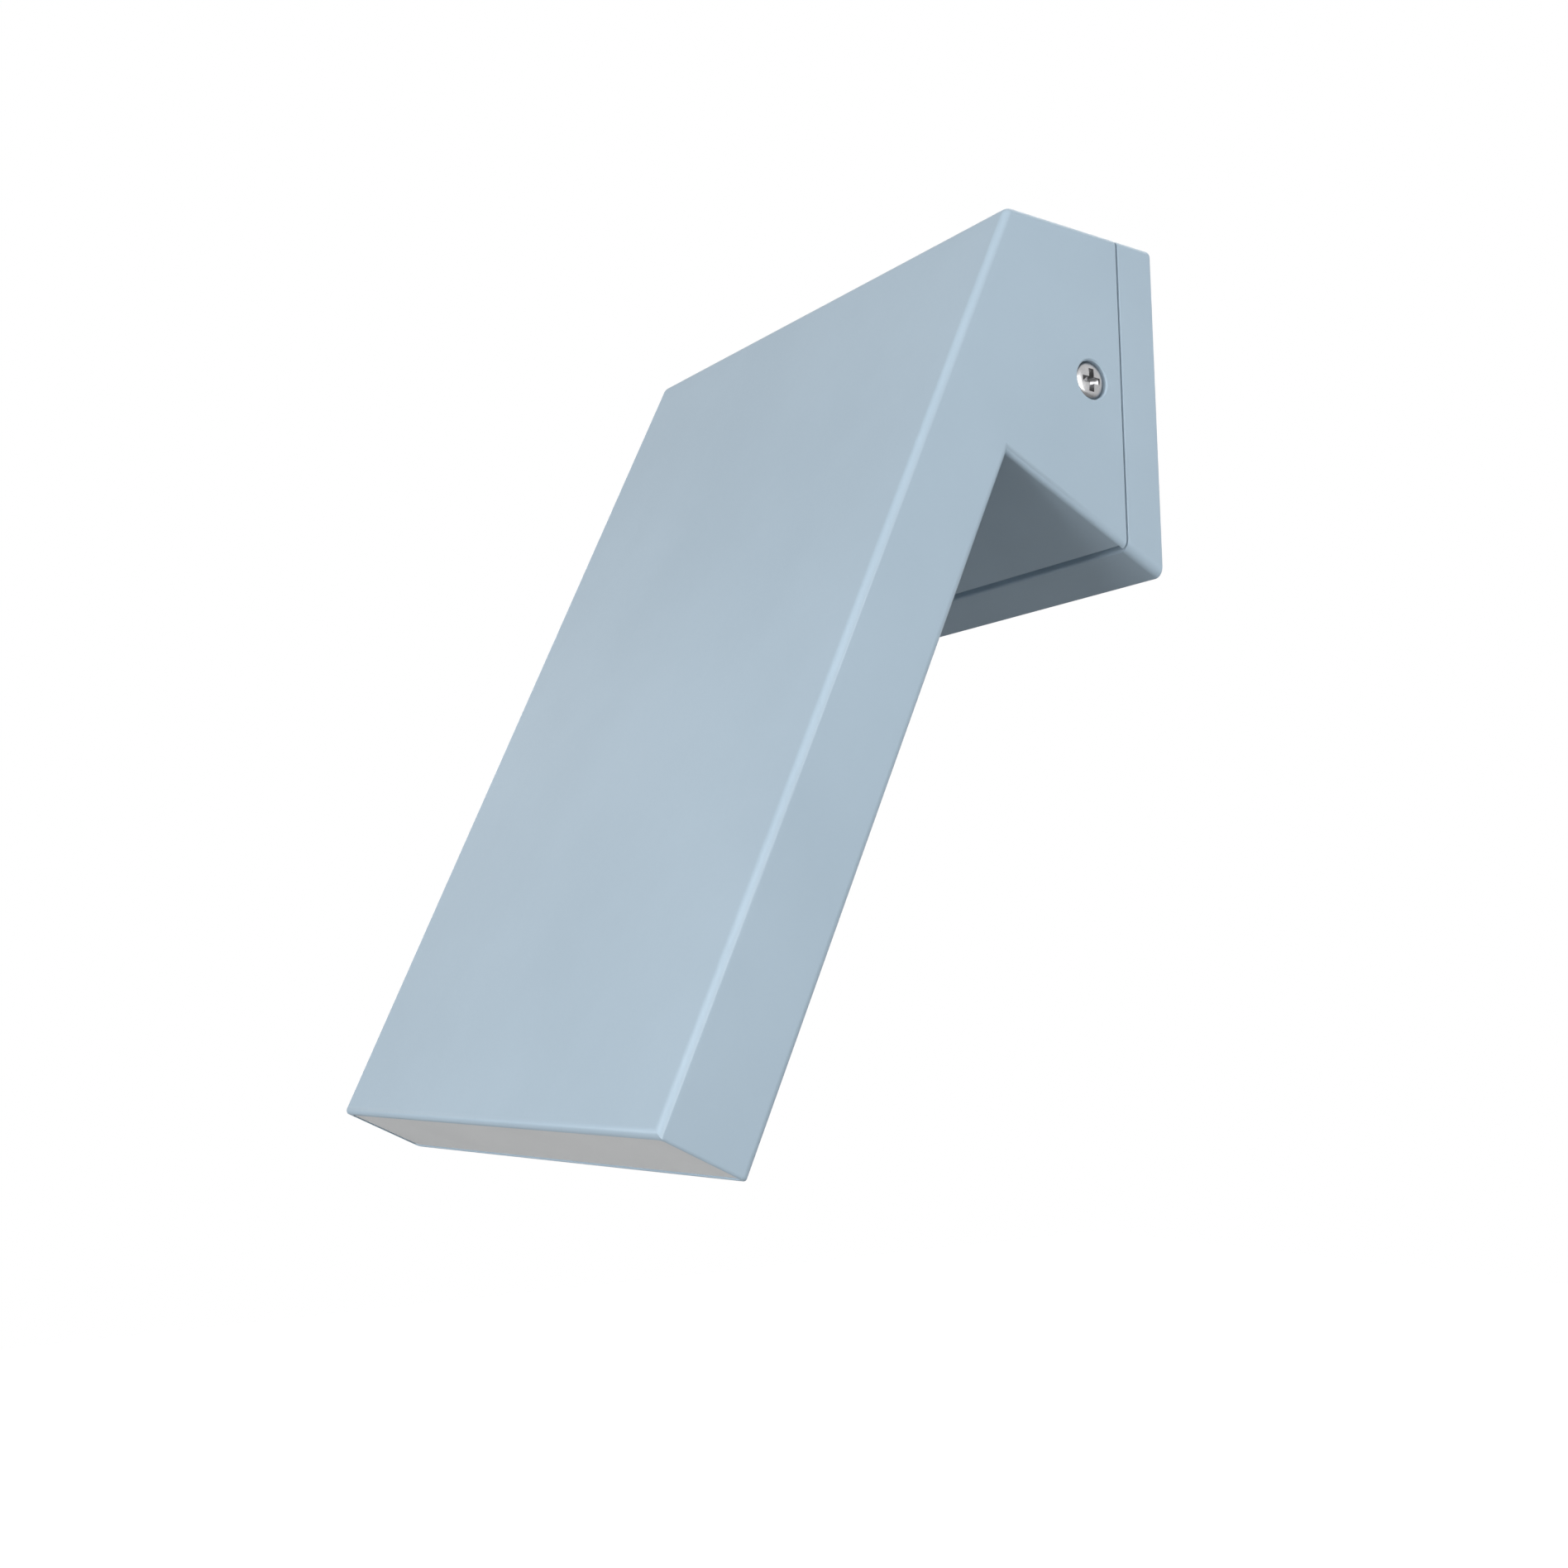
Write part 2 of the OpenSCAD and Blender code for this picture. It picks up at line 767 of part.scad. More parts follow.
// The white mixing box: wide at the shelf, narrow at the board, with a hole for every chip
module reflector() {
  low_y = wall + diffuser_gap;
  high_y = arm_t - wall - diffuser_gap;
  color("White")
    in_arm()
      difference() {
        box([-inner_x + diffuser_gap, low_y, reflector_z], [inner_x - diffuser_gap, high_y, board_z]);
        across(2 * (inner_x - shelf_w - reflector_t))
          polygon([
            [low_y + shelf_w, reflector_z - cut],
            [high_y - shelf_w, reflector_z - cut],
            [board_y + chip_w, board_z - reflector_t],
            [board_y - chip_w, board_z - reflector_t]
          ]);
        at_chips(board_z - chamber_h / 2)
          cylinder(h = chamber_h, r = chip_hole_r);
        pair(board_screw_x, board_y, board_z - board_head_h - tip_gap)
          cylinder(h = chamber_h, r = board_head_r + 2 * tip_gap);
      }
}

// A place for each light chip
module at_chips(z) {
  for (i = [0 : chip_n - 1])
    translate([(i - (chip_n - 1) / 2) * chip_pitch, board_y, z])
      children();
}

module led_board() {
  color("White")
    in_arm()
      difference() {
        box([-board_len / 2, board_y - board_w / 2, board_z],
          [board_len / 2, board_y + board_w / 2, carrier_z]);
        pair(board_screw_x, board_y, board_z - cut)
          cylinder(h = board_t + 2 * cut, r = board_screw_r + slide_gap);
      }
}

module led_chips() {
  color("Gold")
    in_arm()
      at_chips(board_z - chip_h)
        translate([-chip_w / 2, -chip_w / 2, 0])
          cube([chip_w, chip_w, chip_h]);
}

// A block over the connector's place on the board, grown by a gap on every side
module connector_block(gap, height) {
  box([connector_x - connector_w / 2 - gap, board_y - connector_d / 2 - gap, carrier_z - gap],
    [connector_x + connector_w / 2 + gap, board_y + connector_d / 2 + gap, carrier_z + height + gap]);
}

module led_connector() {
  color("Ivory")
    in_arm()
      difference() {
        connector_block(0, connector_h);
        for (side = [-1, 1])
          translate([connector_x + side * wire_pair / 2, board_y, carrier_z + connector_h - entry_depth])
            cylinder(h = connector_h, r = wire_r + slide_gap);
      }
}

module board_screws() {
  color("Silver")
    in_arm()
      pair(board_screw_x, board_y, board_z)
        mirror([0, 0, 1])
          pan_screw(board_screw_r, board_t + carrier_t, board_head_r, board_head_h);
}

// The bent aluminium strip that holds the board and takes its heat to the front wall
module led_carrier() {
  color("Silver")
    in_arm()
      difference() {
        union() {
          box([-board_len / 2, leg_y, carrier_z], [board_len / 2, board_y + board_w / 2, leg_z]);
          box([-leg_w / 2, leg_y, carrier_z], [leg_w / 2, leg_y + carrier_t, leg_z + leg_len]);
        }
        pair(board_screw_x, board_y, carrier_z - cut)
          cylinder(h = carrier_t + 2 * cut, r = board_screw_r + shaft_gap);
        connector_block(connector_gap, connector_h);
        for (x = carrier_screw_x)
          bar_y(x, leg_mid_z, 0, arm_t, small_r + slide_gap);
      }
}

module heat_pad() {
  color("SkyBlue")
    in_arm()
      difference() {
        box([-leg_w / 2, land_y, leg_z], [leg_w / 2, leg_y, leg_z + leg_len]);
        for (x = carrier_screw_x)
          bar_y(x, leg_mid_z, 0, arm_t, small_r + slide_gap);
      }
}

module carrier_screws() {
  color("Silver")
    in_arm()
      for (x = carrier_screw_x)
        translate([x, leg_y + carrier_t, leg_mid_z])
          facing_back()
            small_screw(carrier_t + pad_t);
}

// The potted driver: a stepped box with two tabs and a way in for each wire
module driver() {
  color("WhiteSmoke")
    in_arm()
      difference() {
        union() {
          box([-driver_len / 2, wall, driver_low],
            [driver_len / 2, wall + driver_h - driver_step, driver_high]);
          box([-driver_len / 2 + driver_step, wall, driver_low + driver_step],
            [driver_len / 2 - driver_step, wall + driver_h, driver_high - driver_step]);
          box([-driver_len / 2 - tab_len, land_y, driver_z - tab_len / 2],
            [driver_len / 2 + tab_len, land_y + tab_t, driver_z + tab_len / 2]);
        }
        pair(driver_tab_x, 0, driver_z)
          facing_back()
            cylinder(h = arm_t, r = small_r + slide_gap);
        for (x = mains_wire_x)
          translate([x, driver_wire_y, driver_high - entry_depth])
            cylinder(h = entry_depth + cut, r = wire_r + slide_gap);
        for (x = lamp_wire_x)
          translate([x, driver_wire_y, driver_low - cut])
            cylinder(h = entry_depth + cut, r = wire_r + slide_gap);
      }
}

module driver_screws() {
  color("Silver")
    in_arm()
      pair(driver_tab_x, land_y + tab_t, driver_z)
        facing_back()
          small_screw(tab_t);
}

// A place for each pole of the terminal block
module at_poles(y, z) {
  for (i = [-1 : 1])
    translate([i * pole_pitch, y, z])
      children();
}

module terminal_block() {
  color("Ivory")
    in_arm()
      difference() {
        union() {
          box([-block_w / 2, block_y, floor_z],
            [block_w / 2, block_y + block_len, floor_z + block_h - pole_rise]);
          at_poles(block_y + 1, floor_z)
            translate([-pole_pitch / 2 + pole_wall, 0, 0])
              cube([pole_pitch - 2 * pole_wall, block_len - 2, block_h]);
          box([-block_w / 2 - tab_len, block_mid_y - tab_len / 2, lug_z],
            [block_w / 2 + tab_len, block_mid_y + tab_len / 2, lug_z + tab_t]);
        }
        at_poles(block_y - cut, clamp_z)
          facing_back()
            cylinder(h = block_len + 2 * cut, r = clamp_r + shaft_gap);
        at_poles(block_mid_y, clamp_z)
          cylinder(h = block_h, r = small_r + 2 * shaft_gap);
        at_poles(block_mid_y, terminal_head_z)
          cylinder(h = block_h, r = terminal_head_r + tip_gap);
        pair(block_tab_x, block_mid_y, lug_z - cut)
          cylinder(h = tab_t + 2 * cut, r = small_r + slide_gap);
      }
}

module terminal_clamps() {
  color("Goldenrod")
    in_arm()
      difference() {
        at_poles(block_y + 1, clamp_z)
          facing_back()
            cylinder(h = block_len - 2, r = clamp_r);
        at_poles(block_y, clamp_z)
          facing_back()
            cylinder(h = block_len, r = clamp_bore_r);
        at_poles(block_mid_y, clamp_z)
          cylinder(h = block_h, r = small_r + shaft_gap);
      }
}

module terminal_screws() {
  color("Silver")
    in_arm()
      at_poles(block_mid_y, terminal_head_z)
        pan_screw(small_r, terminal_head_z - clamp_z - wire_r - tip_gap, terminal_head_r, small_head_h);
}

module block_screws() {
  color("Silver")
    in_arm()
      pair(block_tab_x, block_mid_y, lug_z + tab_t)
        small_screw(tab_t);
}

module earth_screw() {
  color("Silver")
    in_arm()
      translate([earth_x, earth_y, lug_z + lug_t])
        pan_screw(earth_r, lug_t + land_h - blind_floor - tip_gap, earth_r * 1.9, earth_r * 1.1);
}

module earth_lug() {
  color("Silver")
    in_arm()
      difference() {
        union() {
          translate([earth_x, earth_y, lug_z])
            cylinder(h = lug_t, r = lug_r);
          box([earth_x - barrel_r, barrel_y - 1, lug_z], [earth_x + barrel_r, earth_y, lug_z + lug_t]);
          bar_y(earth_x, barrel_z, barrel_y - barrel_len, barrel_y, barrel_r);
        }
        translate([earth_x, earth_y, lug_z - cut])
          cylinder(h = lug_t + 2 * cut, r = earth_r + slide_gap);
        bar_y(earth_x, barrel_z, barrel_y - barrel_len - cut, barrel_y - 1, wire_r + slide_gap);
      }
}

// A mains wire from its pole, over the head's floor and down the arm into the driver
module driver_wire(pole_x, driver_x) {
  in_arm()
    wire([
      [pole_x, block_y + clamp_grip, clamp_z],
      [pole_x, block_y - 1, clamp_z],
      [pole_x, arm_t - 1, clamp_z],
      [pole_x - 0.5, arm_t - 7, clamp_z - wire_lead],
      [pole_x - 1, driver_wire_y + 0.5, clamp_z - wire_bend],
      [(pole_x + driver_x) / 2, driver_wire_y, (clamp_z + driver_high) / 2],
      [driver_x, driver_wire_y, driver_high + wire_bend],
      [driver_x, driver_wire_y, driver_high + 1],
      [driver_x, driver_wire_y, driver_high - wire_lead]
    ]);
}

// A lamp wire from the driver down to its place in the connector
module lamp_wire(driver_x, plug_x) {
  plug_top = carrier_z + connector_h;
  in_arm()
    wire([
      [driver_x, driver_wire_y, driver_low + wire_lead],
      [driver_x, driver_wire_y, driver_low - 1],
      [driver_x + 1, driver_wire_y + 0.5, driver_low - wire_bend + 1],
      [(driver_x + plug_x) / 2, board_y + 1.5, (driver_low + plug_top) / 2 + 1],
      [plug_x, board_y + 0.8, plug_top + wire_bend],
      [plug_x, board_y, plug_top + wire_lead],
      [plug_x, board_y, plug_top - wire_lead]
    ]);
}

module live_wire() {
  color("SaddleBrown")
    driver_wire(-pole_pitch, mains_wire_x[0]);
}

module neutral_wire() {
  color("RoyalBlue")
    driver_wire(0, mains_wire_x[1]);
}

module earth_wire() {
  color("YellowGreen")
    in_arm()
      wire([
        [pole_pitch, block_y + clamp_grip, clamp_z],
        [pole_pitch, block_y - 1, clamp_z],
        [pole_pitch + 1, block_y - wire_bend / 2 - 1, clamp_z + 0.5],
        [(pole_pitch + earth_x) / 2, block_y - wire_bend - 1, clamp_z + 1],
        [earth_x - 2, block_y - wire_bend + 0.5, barrel_z + 1],
        [earth_x, barrel_y - barrel_len - wire_lead / 2, barrel_z],
        [earth_x, barrel_y - barrel_len + 1, barrel_z],
        [earth_x, barrel_y - 2, barrel_z]
      ]);
}

module positive_wire() {
  color("Red")
    lamp_wire(lamp_wire_x[0], connector_x - wire_pair / 2);
}

module negative_wire() {
  color("Black")
    lamp_wire(lamp_wire_x[1], connector_x + wire_pair / 2);
}

module side_screw() {
  color("Silver")
    translate([half_w - screw_sink - screw_head_h, -screw_setback, screw_z])
      rotate([0, 90, 0])
        pan_screw(screw_r, half_w - screw_sink - screw_head_h - screw_end_x, screw_head_r, screw_head_h);
}

module sealing_ring() {
  color("Black")
    difference() {
      bar_x(half_w - sink_depth, half_w - sink_depth + ring_t, screw_head_r - slide_gap);
      bar_x(half_w - sink_depth - cut, half_w, screw_r + slide_gap);
    }
}

module clamp_nut() {
  color("Silver")
    difference() {
      box([nut_x - nut_t, -nut_front, screw_z - nut_h / 2],
        [nut_x, -nut_front + nut_len, screw_z + nut_h / 2]);
      bar_x(nut_x - nut_t - cut, nut_x + cut, screw_r + shaft_gap);
    }
}

module right_side_screw() {
  side_screw();
}

module right_ring() {
  sealing_ring();
}

module right_clamp_nut() {
  clamp_nut();
}

module left_side_screw() {
  mirror([1, 0, 0])
    side_screw();
}

module left_ring() {
  mirror([1, 0, 0])
    sealing_ring();
}

module left_clamp_nut() {
  mirror([1, 0, 0])
    clamp_nut();
}

wall_bracket();
wall_gasket();
cable_grommet();
seam_seal();
housing();
arm_cover();
cover_seal();
cover_screws();
diffuser();
diffuser_seal();
reflector();
led_board();
led_chips();
led_connector();
board_screws();
led_carrier();
heat_pad();
carrier_screws();
driver();
driver_screws();
terminal_block();
terminal_clamps();
terminal_screws();
block_screws();
earth_screw();
earth_lug();
live_wire();
neutral_wire();
earth_wire();
positive_wire();
negative_wire();
right_side_screw();
right_ring();
right_clamp_nut();
left_side_screw();
left_ring();
left_clamp_nut();
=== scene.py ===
"""Outdoor wall light: a flat slanted arm on a short head, clamped to a wall bracket by two side screws."""
import math

import bmesh
import bpy
from mathutils import Matrix, Vector


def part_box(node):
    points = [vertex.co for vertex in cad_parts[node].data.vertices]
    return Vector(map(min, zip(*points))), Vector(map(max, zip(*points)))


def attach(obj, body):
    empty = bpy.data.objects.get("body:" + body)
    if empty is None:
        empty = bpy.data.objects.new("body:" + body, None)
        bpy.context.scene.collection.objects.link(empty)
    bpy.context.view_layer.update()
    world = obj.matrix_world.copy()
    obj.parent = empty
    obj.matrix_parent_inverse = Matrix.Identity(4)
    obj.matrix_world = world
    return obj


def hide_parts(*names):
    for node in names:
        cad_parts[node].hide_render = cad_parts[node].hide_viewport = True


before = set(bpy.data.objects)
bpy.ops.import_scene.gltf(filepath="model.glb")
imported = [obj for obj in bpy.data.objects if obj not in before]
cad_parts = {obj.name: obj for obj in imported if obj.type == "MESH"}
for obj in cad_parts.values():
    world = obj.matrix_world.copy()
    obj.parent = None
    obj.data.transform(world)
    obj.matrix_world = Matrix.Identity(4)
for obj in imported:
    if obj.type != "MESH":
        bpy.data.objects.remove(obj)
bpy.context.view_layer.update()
bpy.ops.object.select_all(action="DESELECT")

MM = 0.001
QUARTER_TURN = math.pi / 2
X, Y, Z = 0, 1, 2
UP, BACK, FRONT = (0, 0, 1), (0, 1, 0), (0, -1, 0)

# The main sizes. All sizes here are in millimetres, and the first three are read from the frame.
HALF_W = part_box("housing")[1].x / MM
TOP_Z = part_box("housing")[1].z / MM
SEAM_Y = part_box("housing")[1].y / MM
HEAD_DEPTH = 40.5
ARM_LEN = 198.0
ARM_T = 20.0
LEAN = math.radians(25)
WALL = 2.5
EDGE_R = 1.6
INNER_X = HALF_W - WALL

# How far a cutter reaches past the face that it cuts
CUT = 1.0

# Clearances
SLIDE_GAP = 0.1
SHAFT_GAP = 0.05
SEAT_GAP = 0.15

# Small edges and fillets
SEAM_CHAMFER = 0.25
MOUTH_CHAMFER = 0.25
BROKEN_EDGE = 0.3
SHARP_EDGE = 0.01
CAST_FILLET = 0.8
CAST_CORNER_R = 1.0

# The flare at the root of a cast boss, which starts just inside the wall, so that no faces share a plane
BOSS_ROOT = 1.0
ROOT_SUNK = 0.03

# The dark gap along the seam's underside: its width, its depth, and how far it stays from the side faces
SHADOW_GAP = 1.3
SHADOW_DEEP = 1.6
SHADOW_INSET = 1.2

# The diffuser and the thin rim round it, which is thicker in front
RIM = 0.9
RIM_FRONT_MORE = 0.8
RIM_EDGE_R = 0.5
RIM_GAP = 0.1
RIM_CORNER_R = 1.0
DIFFUSER_SINK = 0.6
DIFFUSER_T = 3.0
DIFFUSER_SEAL_T = 0.8
DIFFUSER_EDGE_R = 0.2

# The wall bracket
BRACKET_DEPTH = 10.0
PLATE_T = 3.0
RIM_W = 4.0
BRACKET_LOW_R = 2.2
BRACKET_FRONT_R = 0.45
BRACKET_BACK_R = 0.5
FIXING_X = 40.0
FIXING_R = 2.5
FIXING_MOUTH = 0.4
FIXING_BOSS_R = 7.0
FIXING_BOSS_H = 2.0
GROMMET_HOLE_R = 8.0
GROMMET_LIP_W = 2.1
CABLE_R = 4.0
GASKET_W = 3.0
GASKET_T = 1.2
GASKET_GAP = 0.05
GASKET_CROWN = 0.6
GASKET_JOINT_X = -8.0
GASKET_JOINT_W = 0.1
SEAM_SEAL_INSET = 1.0
SEAM_SEAL_W = 1.5
SEAM_GROOVE = 1.5

# The side screws, and from each side face inwards the boss, the bracket's ear and the clamp nut
SCREW_Y = -18.7
SCREW_DROP = 32.0
SCREW_Z = TOP_Z - SCREW_DROP
SCREW_R = 2.0
SCREW_PITCH = 0.7
SCREW_HOLE_R = SCREW_R + SHAFT_GAP
SCREW_HEAD_R = 4.0
SCREW_HEAD_H = 1.8
SCREW_SINK = 0.2
RING_T = 0.6
SIDE_BOSS_R = 6.0
SIDE_BOSS_H = 2.5
EAR_T = 2.0
EAR_H = 18.0
EAR_CORNER_R = 3.0
EAR_OUTER = INNER_X - SIDE_BOSS_H - SLIDE_GAP
EAR_INNER = EAR_OUTER - EAR_T
EAR_END = SCREW_Y - SIDE_BOSS_R
NUT_T = 3.5
NUT_H = 8.0
NUT_LEN = 16.0
NUT_TRAVEL = 2.1
NUT_NOSE = 6.0
NUT_CORNER_R = 1.2
NUT_EDGE = 0.25
NUT_SINK = 0.4
NUT_OUTER = EAR_INNER - SLIDE_GAP
NUT_INNER = NUT_OUTER - NUT_T
NUT_FRONT = EAR_END - NUT_NOSE
SCREW_END = NUT_INNER - NUT_TRAVEL - 1
RIB_T = 1.5
RIB_START = EAR_END - 2

# The small screws
SMALL_R = 1.5
SMALL_PITCH = 0.5
SMALL_BOSS_R = 3.7
TAPPING_R = SMALL_R + SHAFT_GAP
BLIND_FLOOR = 0.6
COVER_BOSS_R = 4.0
COVER_SCREW_LEN = 10.0
COVER_HEAD_R = 2.85
COVER_HEAD_H = 1.5
EARTH_BOSS_R = 4.9
LUG_R = 4.4

# A thread's depth as a share of its pitch, and the length of a screw's tapered tip
THREAD_DEEP = 0.3
SCREW_TIP = 0.4

# The side of a pan head, as shares of its radius and of its height
PAN_HEAD = ((1, 0), (1, 0.42), (0.97, 0.6), (0.88, 0.8), (0.7, 0.93), (0.4, 1))

SIN = math.sin(LEAN)
COS = math.cos(LEAN)

# The wall's up and out directions, seen from the leaning arm, and the way that the sloping underside faces
UP_IN_ARM = Vector((0, -SIN, COS))
BACK_IN_ARM = Vector((0, COS, SIN))
UNDERSIDE = Vector((0, -SIN, -COS))

# Levels and sizes along the leaning arm. The levels are heights from its upper front edge, along the arm.
# The notch is where the head's underside meets the arm's back.
NOTCH_Z = HEAD_DEPTH * SIN - 2 * TOP_Z * COS
HEAD_FLOOR_Z = NOTCH_Z + WALL
DIFFUSER_Z = -ARM_LEN + DIFFUSER_SINK
SHELF_Z = DIFFUSER_Z + DIFFUSER_T + DIFFUSER_SEAL_T
SHELF_W = 1.5
SHELF_T = 1.5
SHELF_TOP = SHELF_Z + SHELF_T
CHAMBER_H = 16.0
BOARD_T = 1.6
CARRIER_T = 2.0
LEG_Z = SHELF_TOP + CHAMBER_H + BOARD_T + CARRIER_T
LEG_LEN = 16.0
LEG_HALF = 42.0
LEG_SCREW_X = LEG_HALF * 0.76
LAND_H = 3.0
LAND_CORNER_R = 1.5

# The rim's edges are sharper than the frame's, so the shell ends a little earlier, to reach as far down
TIP_Z = -ARM_LEN + (EDGE_R - RIM_EDGE_R) * (SIN + COS - 1) / COS

# The cover on the back of the arm, and the ledge that carries it and its seal
LEDGE_W = 3.0
LEDGE_T = 2.0
COVER_T = 2.0
COVER_SEAL_T = 1.0
COVER_GAP = 0.3
COVER_CORNER_R = 0.8
COVER_EDGE_R = 0.4
POCKET_CORNER_R = 0.6
CARRIER_CLEAR = 1.5
COVER_LOW = LEG_Z + CARRIER_CLEAR + LEDGE_W
COVER_HIGH = NOTCH_Z - WALL
COVER_Y = ARM_T - COVER_T
SEAL_Y = COVER_Y - COVER_SEAL_T
COVER_SCREW_X = INNER_X - LEDGE_W - COVER_BOSS_R - 0.5
COVER_SCREW_INSET = LEDGE_W + COVER_BOSS_R + 3
COVER_SCREW_Z = (COVER_LOW + COVER_SCREW_INSET, COVER_HIGH - COVER_SCREW_INSET)

# The driver on its two tabs
TAB_LEN = 8.0
TAB_T = 2.0
DRIVER_Z = (COVER_HIGH + LEG_Z + LEG_LEN) / 2
DRIVER_LEN = 84.0
DRIVER_W = 40.0
DRIVER_H = 11.0
DRIVER_CORNER_R = 2.5
DRIVER_WIRE_Y = WALL + DRIVER_H * 0.6
DRIVER_TAB_X = (DRIVER_LEN + TAB_LEN) / 2
WIRE_R = 0.95
MAINS_PAIR = 6.0
LAMP_PAIR = 5.0
MAINS_WIRE_X = (-DRIVER_LEN / 4, -DRIVER_LEN / 4 + MAINS_PAIR)
LAMP_WIRE_X = (DRIVER_LEN / 4, DRIVER_LEN / 4 + LAMP_PAIR)

# The form of the driver's case
PARTING_Y = WALL + DRIVER_H / 2
PARTING_W = 0.3
PARTING_DEEP = 0.35
LID_EDGE_R = 1.0
FIELD_INSET = 6.0
FIELD_DEEP = 0.4
FIELD_CORNER_R = 1.5
TAB_CORNER_R = 2.0
CATCH_X = DRIVER_LEN * 0.42
CATCH_HALF_W = 3.0
CATCH_H = 1.5
CATCH_DEEP = 0.5
CATCH_RISE = 0.6

# The fixings of the terminal block and the earth lug
BLOCK_W = 26.0
BLOCK_SETBACK = 6.0
BLOCK_LEN = 16.0
BLOCK_TAB_X = (BLOCK_W + TAB_LEN) / 2
BLOCK_Y = ARM_T + BLOCK_SETBACK + BLOCK_LEN / 2
EARTH_X = BLOCK_TAB_X + TAB_LEN / 2 + 2 * LUG_R + 1

# What the edges of the parts that stay from the frame get
FRAME_MERGE = 0.002
FRAME_FLAT = math.radians(0.6)
FRAME_EDGE = 0.15
FRAME_SHARP = math.radians(35)


# Small tools for shaping


def choose(piece):
    """Selects one piece alone."""
    bpy.ops.object.select_all(action="DESELECT")
    piece.select_set(True)
    bpy.context.view_layer.objects.active = piece


def editing(piece):
    """Opens a piece for shaping, with nothing on it selected."""
    choose(piece)
    bpy.ops.object.mode_set(mode="EDIT")
    bpy.ops.mesh.select_all(action="DESELECT")


def done():
    bpy.ops.object.mode_set(mode="OBJECT")


def pick(piece, kind, test):
    """Selects the faces or edges that pass a test."""
    bpy.ops.mesh.select_mode(type={"faces": "FACE", "edges": "EDGE"}[kind])
    bpy.ops.mesh.select_all(action="DESELECT")
    mesh = bmesh.from_edit_mesh(piece.data)
    for part in getattr(mesh, kind):
        if test(part):
            part.select_set(True)
    mesh.select_flush_mode()
    bmesh.update_edit_mesh(piece.data)


def middle(part):
    """The middle of a face or an edge, in millimetres."""
    return sum((corner.co for corner in part.verts), Vector()) / (len(part.verts) * MM)


def near(a, b, room=0.01):
    return abs(a - b) < room


def lies_at(edge, axis, level):
    """Whether a whole edge lies at one level of an axis."""
    return all(near(corner.co[axis] / MM, level) for corner in edge.verts)


def keeps(edge, axis):
    """Whether an edge runs square to an axis."""
    start, end = (corner.co for corner in edge.verts)
    return near(start[axis], end[axis], 0.001 * MM)


def extrude(x, y, z):
    bpy.ops.mesh.extrude_region_move(TRANSFORM_OT_translate={"value": (x * MM, y * MM, z * MM)})


def bevel(width, segments):
    bpy.ops.mesh.bevel(offset=width * MM, segments=segments, profile=0.5, affect="EDGES")


def slice_off(point, outward):
    """Cuts away what lies beyond a plane and closes the cut."""
    bpy.ops.mesh.select_all(action="SELECT")
    bpy.ops.mesh.bisect(plane_co=Vector(point) * MM, plane_no=outward, use_fill=True, clear_outer=True)


def block(name, low, high):
    """A block between two corners."""
    low, high = Vector(low) * MM, Vector(high) * MM
    bpy.ops.mesh.primitive_cube_add(size=1, location=(low + high) / 2, scale=high - low)
    piece = bpy.context.object
    piece.name = name
    bpy.ops.object.transform_apply()
    return piece


def rounded_block(name, low, high, radius, along, segments=3):
    """A block whose edges that run along one axis are rounded."""
    piece = block(name, low, high)
    editing(piece)
    pick(piece, "edges", lambda e: abs((e.verts[1].co - e.verts[0].co).normalized()[along]) > 0.99)
    bevel(radius, segments)
    done()
    return piece


def turned(name, rings, sides=48):
    """A round piece about z, grown ring by ring. Each ring is its radius and its height."""
    radius, height = rings[0]
    bpy.ops.mesh.primitive_circle_add(
        vertices=sides, radius=radius * MM, fill_type="NGON", location=(0, 0, height * MM))
    piece = bpy.context.object
    piece.name = name
    bpy.ops.object.mode_set(mode="EDIT")
    bpy.ops.mesh.select_all(action="SELECT")
    for (radius, height), (next_radius, next_height) in zip(rings, rings[1:]):
        extrude(0, 0, next_height - height)
        share = next_radius / radius
        bpy.ops.transform.resize(value=(share, share, 1))
    bpy.ops.mesh.select_all(action="SELECT")
    bpy.ops.mesh.normals_make_consistent(inside=False)
    done()
    bpy.ops.object.transform_apply()
    return piece


def place(piece, matrix):
    """Moves a piece. The move goes into its mesh, and its object stays at the origin."""
    choose(piece)
    piece.matrix_world = matrix
    bpy.ops.object.transform_apply()
    return piece


def put(piece, spot, facing=UP):
    """Turns a piece's z to the way that it faces and moves its origin to a spot."""
    turn = Vector(UP).rotation_difference(Vector(facing)).to_matrix().to_4x4()
    return place(piece, Matrix.Translation(Vector(spot) * MM) @ turn)


def lean(piece):
    """Moves a piece that was shaped upright to where it lies in the leaning arm."""
    top = Matrix.Translation(Vector((0, -HEAD_DEPTH, TOP_Z)) * MM)
    return place(piece, top @ Matrix.Rotation(-LEAN, 4, "X"))


def copy_of(piece, name):
    """A copy with its own mesh."""
    twin = piece.copy()
    twin.data = piece.data.copy()
    twin.name = name
    bpy.context.collection.objects.link(twin)
    return twin


def mirrored(piece, name):
    """A copy on the other side of the light."""
    twin = copy_of(piece, name)
    choose(twin)
    twin.scale.x = -1
    bpy.ops.object.transform_apply()
    editing(twin)
    bpy.ops.mesh.select_all(action="SELECT")
    bpy.ops.mesh.normals_make_consistent(inside=False)
    done()
    return twin


def joined(pieces):
    """Several pieces as one mesh."""
    bpy.ops.object.select_all(action="DESELECT")
    for piece in pieces:
        piece.select_set(True)
    bpy.context.view_layer.objects.active = pieces[0]
    if len(pieces) > 1:
        bpy.ops.object.join()
    return pieces[0]


